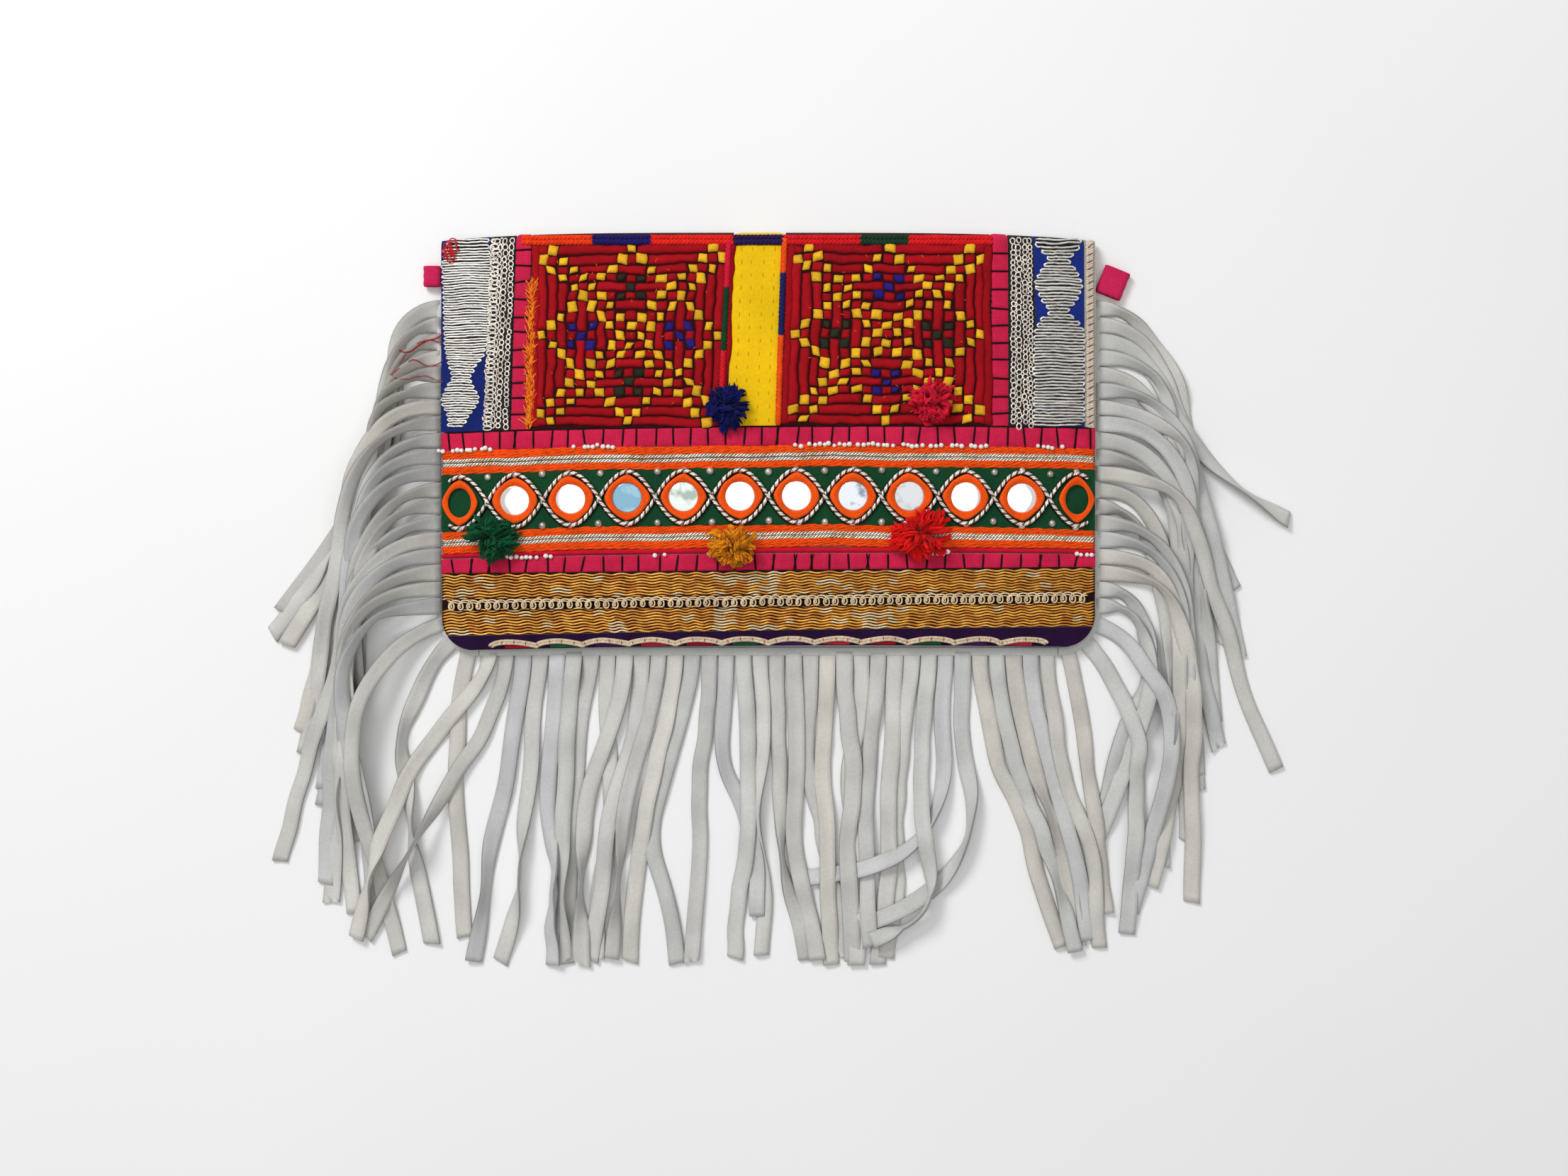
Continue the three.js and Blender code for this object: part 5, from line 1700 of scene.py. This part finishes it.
def lay_strip(path, seed, is_side):
    """Lays one strip over what lies there, rolled edge-up where it bends."""
    local = np.random.default_rng(seed)
    xs, ys, leans, length = path
    step = length / PATH_STEPS
    s = np.arange(len(xs)) * step
    angle = np.radians(leans)
    wander = np.zeros(len(s))
    for size, wave in ((1.3, local.uniform(60, 110)), (0.35, local.uniform(17, 34))):
        hand = size * local.uniform(0.1, 1.0) * np.exp(-((s - length * local.uniform(0.2, 1)) / 38) ** 2)
        wander = wander + hand * np.sin(s / wave * 2 * math.pi + local.uniform(0, 6))
    spot, spread = (local.uniform(22, 70), 13) if is_side else (local.uniform(30, 115), 20)
    wander = wander + local.uniform(-3.2, 3.2) * np.exp(-((s - spot) / spread) ** 2)
    wander = wander * np.clip(s / 25, 0, 1)
    xs = xs + np.cos(angle) * wander
    ys = ys + np.sin(angle) * wander
    leans = leans + np.degrees(np.gradient(wander, step))
    angle = np.radians(leans)
    side = np.stack([np.cos(angle), np.sin(angle)], axis=1)
    slant = 0.22 * local.normal()
    curl = np.gradient(leans, step)
    bank = -smooth_along(curl, 11) * (26 if is_side else 12) * local.uniform(0.45, 1.6)
    limit = 74 if is_side else 56
    bank = np.clip(smooth_along(bank, 7), -limit, limit)
    bank = bank + 9 * np.sin(s / local.uniform(28, 50) + local.uniform(0, 6)) * np.clip(s / 40, 0, 1)
    if local.uniform() < (0.3 if is_side else 0.4):
        middle = length * local.uniform(0.45, 0.85)
        turned = local.choice([-1, 1]) * local.uniform(55, 85)
        bank = bank + turned * np.exp(-((s - middle) / local.uniform(12, 24)) ** 2)
    bank = np.radians(np.clip(bank, -88, 88) * np.clip(s / 10, 0, 1))
    width = STRIP_WIDTH * local.uniform(0.93, 1.05)
    width = width * (1 + 0.02 * np.sin(s / 9 + local.uniform(0, 6)))
    w = np.linspace(-0.5, 0.5, 9)
    offset = w[None, :] * width[:, None]
    fx = xs[:, None] + side[:, 0:1] * offset * np.cos(bank)[:, None]
    fy = ys[:, None] + side[:, 1:2] * offset * np.cos(bank)[:, None]
    tilt = offset * np.sin(bank)[:, None]
    under = ground.at(fx, fy)
    need = np.max(under - tilt, axis=1) + STRIP_THICKNESS / 2 + 0.12
    near = np.abs(s[:, None] - s[None, :])
    eased = np.max(need[None, :] - 0.30 * near, axis=1)
    eased = np.maximum(smooth_along(eased, 7), eased - 0.15)
    root_z = HEADER_LIFT + HEADER_THICKNESS / 2
    fade = np.clip(s / 7, 0, 1)
    centre = root_z * (1 - fade) + np.maximum(eased, need) * fade
    centre = np.where(s < 7, np.maximum(centre, need * fade), centre)
    centre = smooth_along(centre, 5)
    bend = 0.5 * np.sin(s / local.uniform(16, 30) + local.uniform(0, 6)) + 0.3 * local.normal()
    cup = (bend * np.clip(s / 25, 0, 1))[:, None] * (1 - (2 * w[None, :]) ** 2)
    z = centre[:, None] + tilt + cup
    lowest = STRIP_THICKNESS / 2 * np.cos(bank) + 0.08
    z = z + np.maximum(0, lowest - z.min(axis=1))[:, None]
    top_stamp = z + STRIP_THICKNESS / 2
    keep = s > 3
    ground.raise_to(fx[keep], fy[keep], top_stamp[keep])
    t2 = STRIP_THICKNESS / 2
    lean_out = -np.sin(bank)[:, None]
    rows = []
    section = [(-0.5, -0.45), (-0.47, -1), (0, -1), (0.47, -1), (0.5, -0.45), (0.5, 0.45),
               (0.47, 1), (0.25, 1), (0, 1), (-0.25, 1), (-0.47, 1), (-0.5, 0.45)]
    for sw, sh in section:
        o = sw * width
        height = sh * t2
        px = xs + side[:, 0] * (o * np.cos(bank) + height * lean_out[:, 0])
        py = ys + side[:, 1] * (o * np.cos(bank) + height * lean_out[:, 0])
        px[-1] += math.sin(angle[-1]) * slant * o[-1]
        py[-1] -= math.cos(angle[-1]) * slant * o[-1]
        k = (sw + 0.5) * (len(w) - 1)
        low = int(min(len(w) - 2, math.floor(k)))
        zc = z[:, low] * (1 - (k - low)) + z[:, low + 1] * (k - low)
        rows.append(np.stack([px, py, zc + height * np.cos(bank)], axis=1))
    points = np.stack(rows, axis=1)
    first = points[:1].mean(axis=1, keepdims=True) + (points[:1] - points[:1].mean(axis=1,
                                                                                   keepdims=True)) * 0.2
    last = points[-1:].mean(axis=1, keepdims=True) + (points[-1:] - points[-1:].mean(axis=1,
                                                                                     keepdims=True)) * 0.05
    points = np.concatenate([first, points, last])
    warm = float(np.clip(local.normal(0.2, 0.9), -1.2, 1.6))
    base = np.array(srgb(203, 202, 198)) * (1 + 0.045 * float(np.clip(local.normal(), -1.5, 1.5)))
    tone = base * (1 + warm * np.array([0.024, 0.004, -0.024]))
    along = 1 + 0.08 * smooth_noise(points[..., 0], points[..., 1], 26, seed)[..., None]
    # painted shade: the strip's cut edges are darkened, for the dark contact lines between strips
    rim = np.array([0.5 if abs(sw) == 0.5 else (0.9 if abs(sw) == 0.47 else 1.0) for sw, _ in section])
    tint = np.clip(tone * along * rim[None, :, None], 0, 1)
    return points, tint


def header_points(start, end):
    stations = sorted({start, end, *[r for r in np.linspace(0, RIM_RUN, 420) if start < r < end]})
    section = [(0, 0.15), (0.08, 0), (0.92, 0), (1, 0.2), (1, 0.8), (0.92, 1), (0.08, 1), (0, 0.85)]
    rows = []
    for run in stations:
        row = []
        for a, c in section:
            out = FIT_GAP + HEADER_WIDTH * a
            x, y, _ = rim_place(run, out)
            row.append((x, y, HEADER_LIFT + c * HEADER_THICKNESS))
        rows.append(row)
    return np.array(rows)


fringe_runs = [
    ("left", 0, CORNER_END, "left_fringe",
     roots_along(0, SIDE_RUN, LEFT_STRIPS, SIDE_STATIONS, SIDE_LENGTH)
     + roots_along(SIDE_RUN, CORNER_END, LEFT_CORNER, SIDE_STATIONS, SIDE_LENGTH)),
    ("right", RIM_RUN - CORNER_END, RIM_RUN, "right_fringe",
     (roots_along(RIM_RUN - CORNER_END, RIM_RUN - SIDE_RUN, RIGHT_CORNER, SIDE_STATIONS,
                  SIDE_LENGTH)
      + roots_along(RIM_RUN - SIDE_RUN, RIM_RUN, RIGHT_STRIPS, SIDE_STATIONS, SIDE_LENGTH))[::-1]),
    ("bottom", CORNER_END + FIT_GAP, RIM_RUN - CORNER_END - FIT_GAP, "bottom_fringe",
     roots_along(CORNER_END + RUN_GAP, RIM_RUN - CORNER_END - RUN_GAP, BOTTOM_STRIPS,
                 BOTTOM_STATIONS, BOTTOM_LENGTH)),
]
laid_runs = []
for name, start, end, node, strips in fringe_runs:
    parts = Parts()
    head = header_points(start, end)
    parts.grid(head, closed_v=True, tint=suede_tint(head[..., 0], head[..., 1], 12), flip=True)
    order = list(range(len(strips)))
    if name == "bottom":
        order = list(np.random.default_rng(5).permutation(len(strips)))
    laid = [lay_strip(strips[k], 200 + k + 50 * len(name), name != "bottom") for k in order]
    laid_runs.append((name, node, parts, laid))

# blurred heights of the fringe pile, used for painted shade on strips that lie under others
near_top = ground.blurred(4)
wide_top = ground.blurred(10)
for name, node, parts, laid in laid_runs:
    for points, tint in laid:
        x, y, z = points[..., 0], points[..., 1], points[..., 2]
        # painted shade: each strip is darkened where the pile nearby stands above it, as contact shadow
        # and deeper shade under the pile
        contact_shade = np.clip((near_top[ground.index(x, y)] - z - 0.2) / 4.5, 0, 0.5)
        deep_shade = np.clip((wide_top[ground.index(x, y)] - z) / 9, 0, 0.3)
        parts.grid(points, closed_v=True, tint=tint * (1 - contact_shade - deep_shade)[..., None], flip=True)
    add_piece(name + "_strips", parts, SUEDE, "suede", node)

# Loose threads: frayed orange ends beside the left block, and red ends at the left edge

frayed = Parts()
for _ in range(420):
    y = rng.uniform(404, 608)
    t = (y - 346) / 260
    x = 755 - 5 * t + rng.normal(0, 2.4)
    steps = np.linspace(0, 1, 6)
    direction = rng.normal(math.pi / 2, 0.38)
    size = rng.uniform(1.4, 4.6)
    bend = rng.normal(0, 0.7)
    px = float(px_x(x)) + steps * size * math.cos(direction) + bend * steps ** 2
    pv = float(px_y(y)) + steps * size * math.sin(direction)
    lift = FIT_GAP + PATCH + 0.5 + 0.9 * np.sin(math.pi * steps) * rng.uniform(0.4, 1)
    color = srgb(248, 150, 34) if rng.uniform() < 0.5 else srgb(232, 98, 22)
    frayed.tube(place(px, pv, lift), 0.22, 5, tint=color)
add_piece("frayed_orange_threads", frayed, YARN, "orange_yarn")

loose = Parts()
for route, radius, color in (
    ([(630, 470), (600, 482), (575, 500), (560, 492), (548, 510)], 0.3, (190, 40, 50)),
    ([(630, 486), (606, 478), (580, 490), (566, 512), (549, 522), (556, 534)], 0.25, (176, 60, 70)),
    ([(629, 508), (604, 518), (584, 506), (560, 524), (545, 545)], 0.25, (170, 50, 60)),
    ([(628, 540), (600, 530), (574, 538), (552, 532)], 0.22, (190, 90, 96)),
):
    route = np.array(route, float)
    t = np.linspace(0, len(route) - 1, 60)
    x = px_x(np.interp(t, range(len(route)), route[:, 0]))
    y = px_y(np.interp(t, range(len(route)), route[:, 1]))
    x = smooth_along(x, 13)
    y = smooth_along(y, 13)
    top = np.array([ground.top[ground.index(a + np.linspace(-1.5, 1.5, 5), b)].max()
                    for a, b in zip(x, y)])
    on_rim = np.where(x > -HALF, crown(x, y) + 1.7, 0)
    z = smooth_along(np.maximum(np.maximum(top, 2.3), on_rim), 9) + 0.6
    loose.tube(np.stack([x, y, z], axis=1), radius, 5, tint=srgb(*color))
for cx, cy in ((633, 356), (640, 352), (636, 364)):
    angle = np.linspace(0, 4 * math.pi, 40)
    x = px_x(cx + (7 + 3 * np.cos(angle * 1.7)) * np.cos(angle))
    v = px_y(cy + (6 + 3 * np.sin(angle * 1.3)) * np.sin(angle))
    loose.tube(place(np.maximum(x, -HALF + 0.6), v, FIT_GAP + PATCH + 1.3), 0.26, 5,
               tint=srgb(204, 30, 40))
add_piece("loose_red_threads", loose, YARN, "red_embroidery")

# Floor, lights and camera


def make_floor():
    mesh = bpy.data.meshes.new("floor")
    size = 3.0
    corners = [(-size, -size, 0), (size, -size, 0), (size, size, 0), (-size, size, 0)]
    mesh.from_pydata(corners, [], [(0, 1, 2, 3)])
    floor = bpy.data.objects.new("floor", mesh)
    bpy.context.scene.collection.objects.link(floor)
    nodes = Nodes("pale_floor")
    nodes.link(nodes.ramp(nodes.noise(3, 2), (0.90,) * 3, (0.93,) * 3),
               nodes.shader.inputs["Base Color"])
    nodes.shader.inputs["Roughness"].default_value = 0.9
    mesh.materials.append(nodes.material)


make_floor()


def area_light(name, place_at, size, power, target=(0, -0.06, 0)):
    light = bpy.data.lights.new(name, "AREA")
    light.size = size
    light.energy = power
    lamp = bpy.data.objects.new(name, light)
    lamp.location = place_at
    direction = np.array(target) - np.array(place_at)
    vector = Vector(direction)
    lamp.rotation_euler = vector.to_track_quat("-Z", "Y").to_euler()
    bpy.context.scene.collection.objects.link(lamp)


area_light("key_light", (-0.8, 1.0, 1.3), 0.6, 19)
area_light("overhead_softbox", (0, -0.06, 2.6), 2.4, 22)

world = bpy.data.worlds.new("studio")
world.use_nodes = True
world.node_tree.nodes["Background"].inputs["Color"].default_value = (1, 1, 1, 1)
world.node_tree.nodes["Background"].inputs["Strength"].default_value = 0.34
bpy.context.scene.world = world

camera_data = bpy.data.cameras.new("photo_camera")
camera_data.lens = 50
camera_data.sensor_width = 36
camera_data.clip_start = 0.05
camera_data.clip_end = 20
camera = bpy.data.objects.new("photo_camera", camera_data)
camera.location = (0.0067, -0.0618, 0.938)
camera.rotation_euler = (0, 0, 0)
bpy.context.scene.collection.objects.link(camera)
bpy.context.scene.camera = camera
bpy.context.scene.view_settings.view_transform = "Standard"
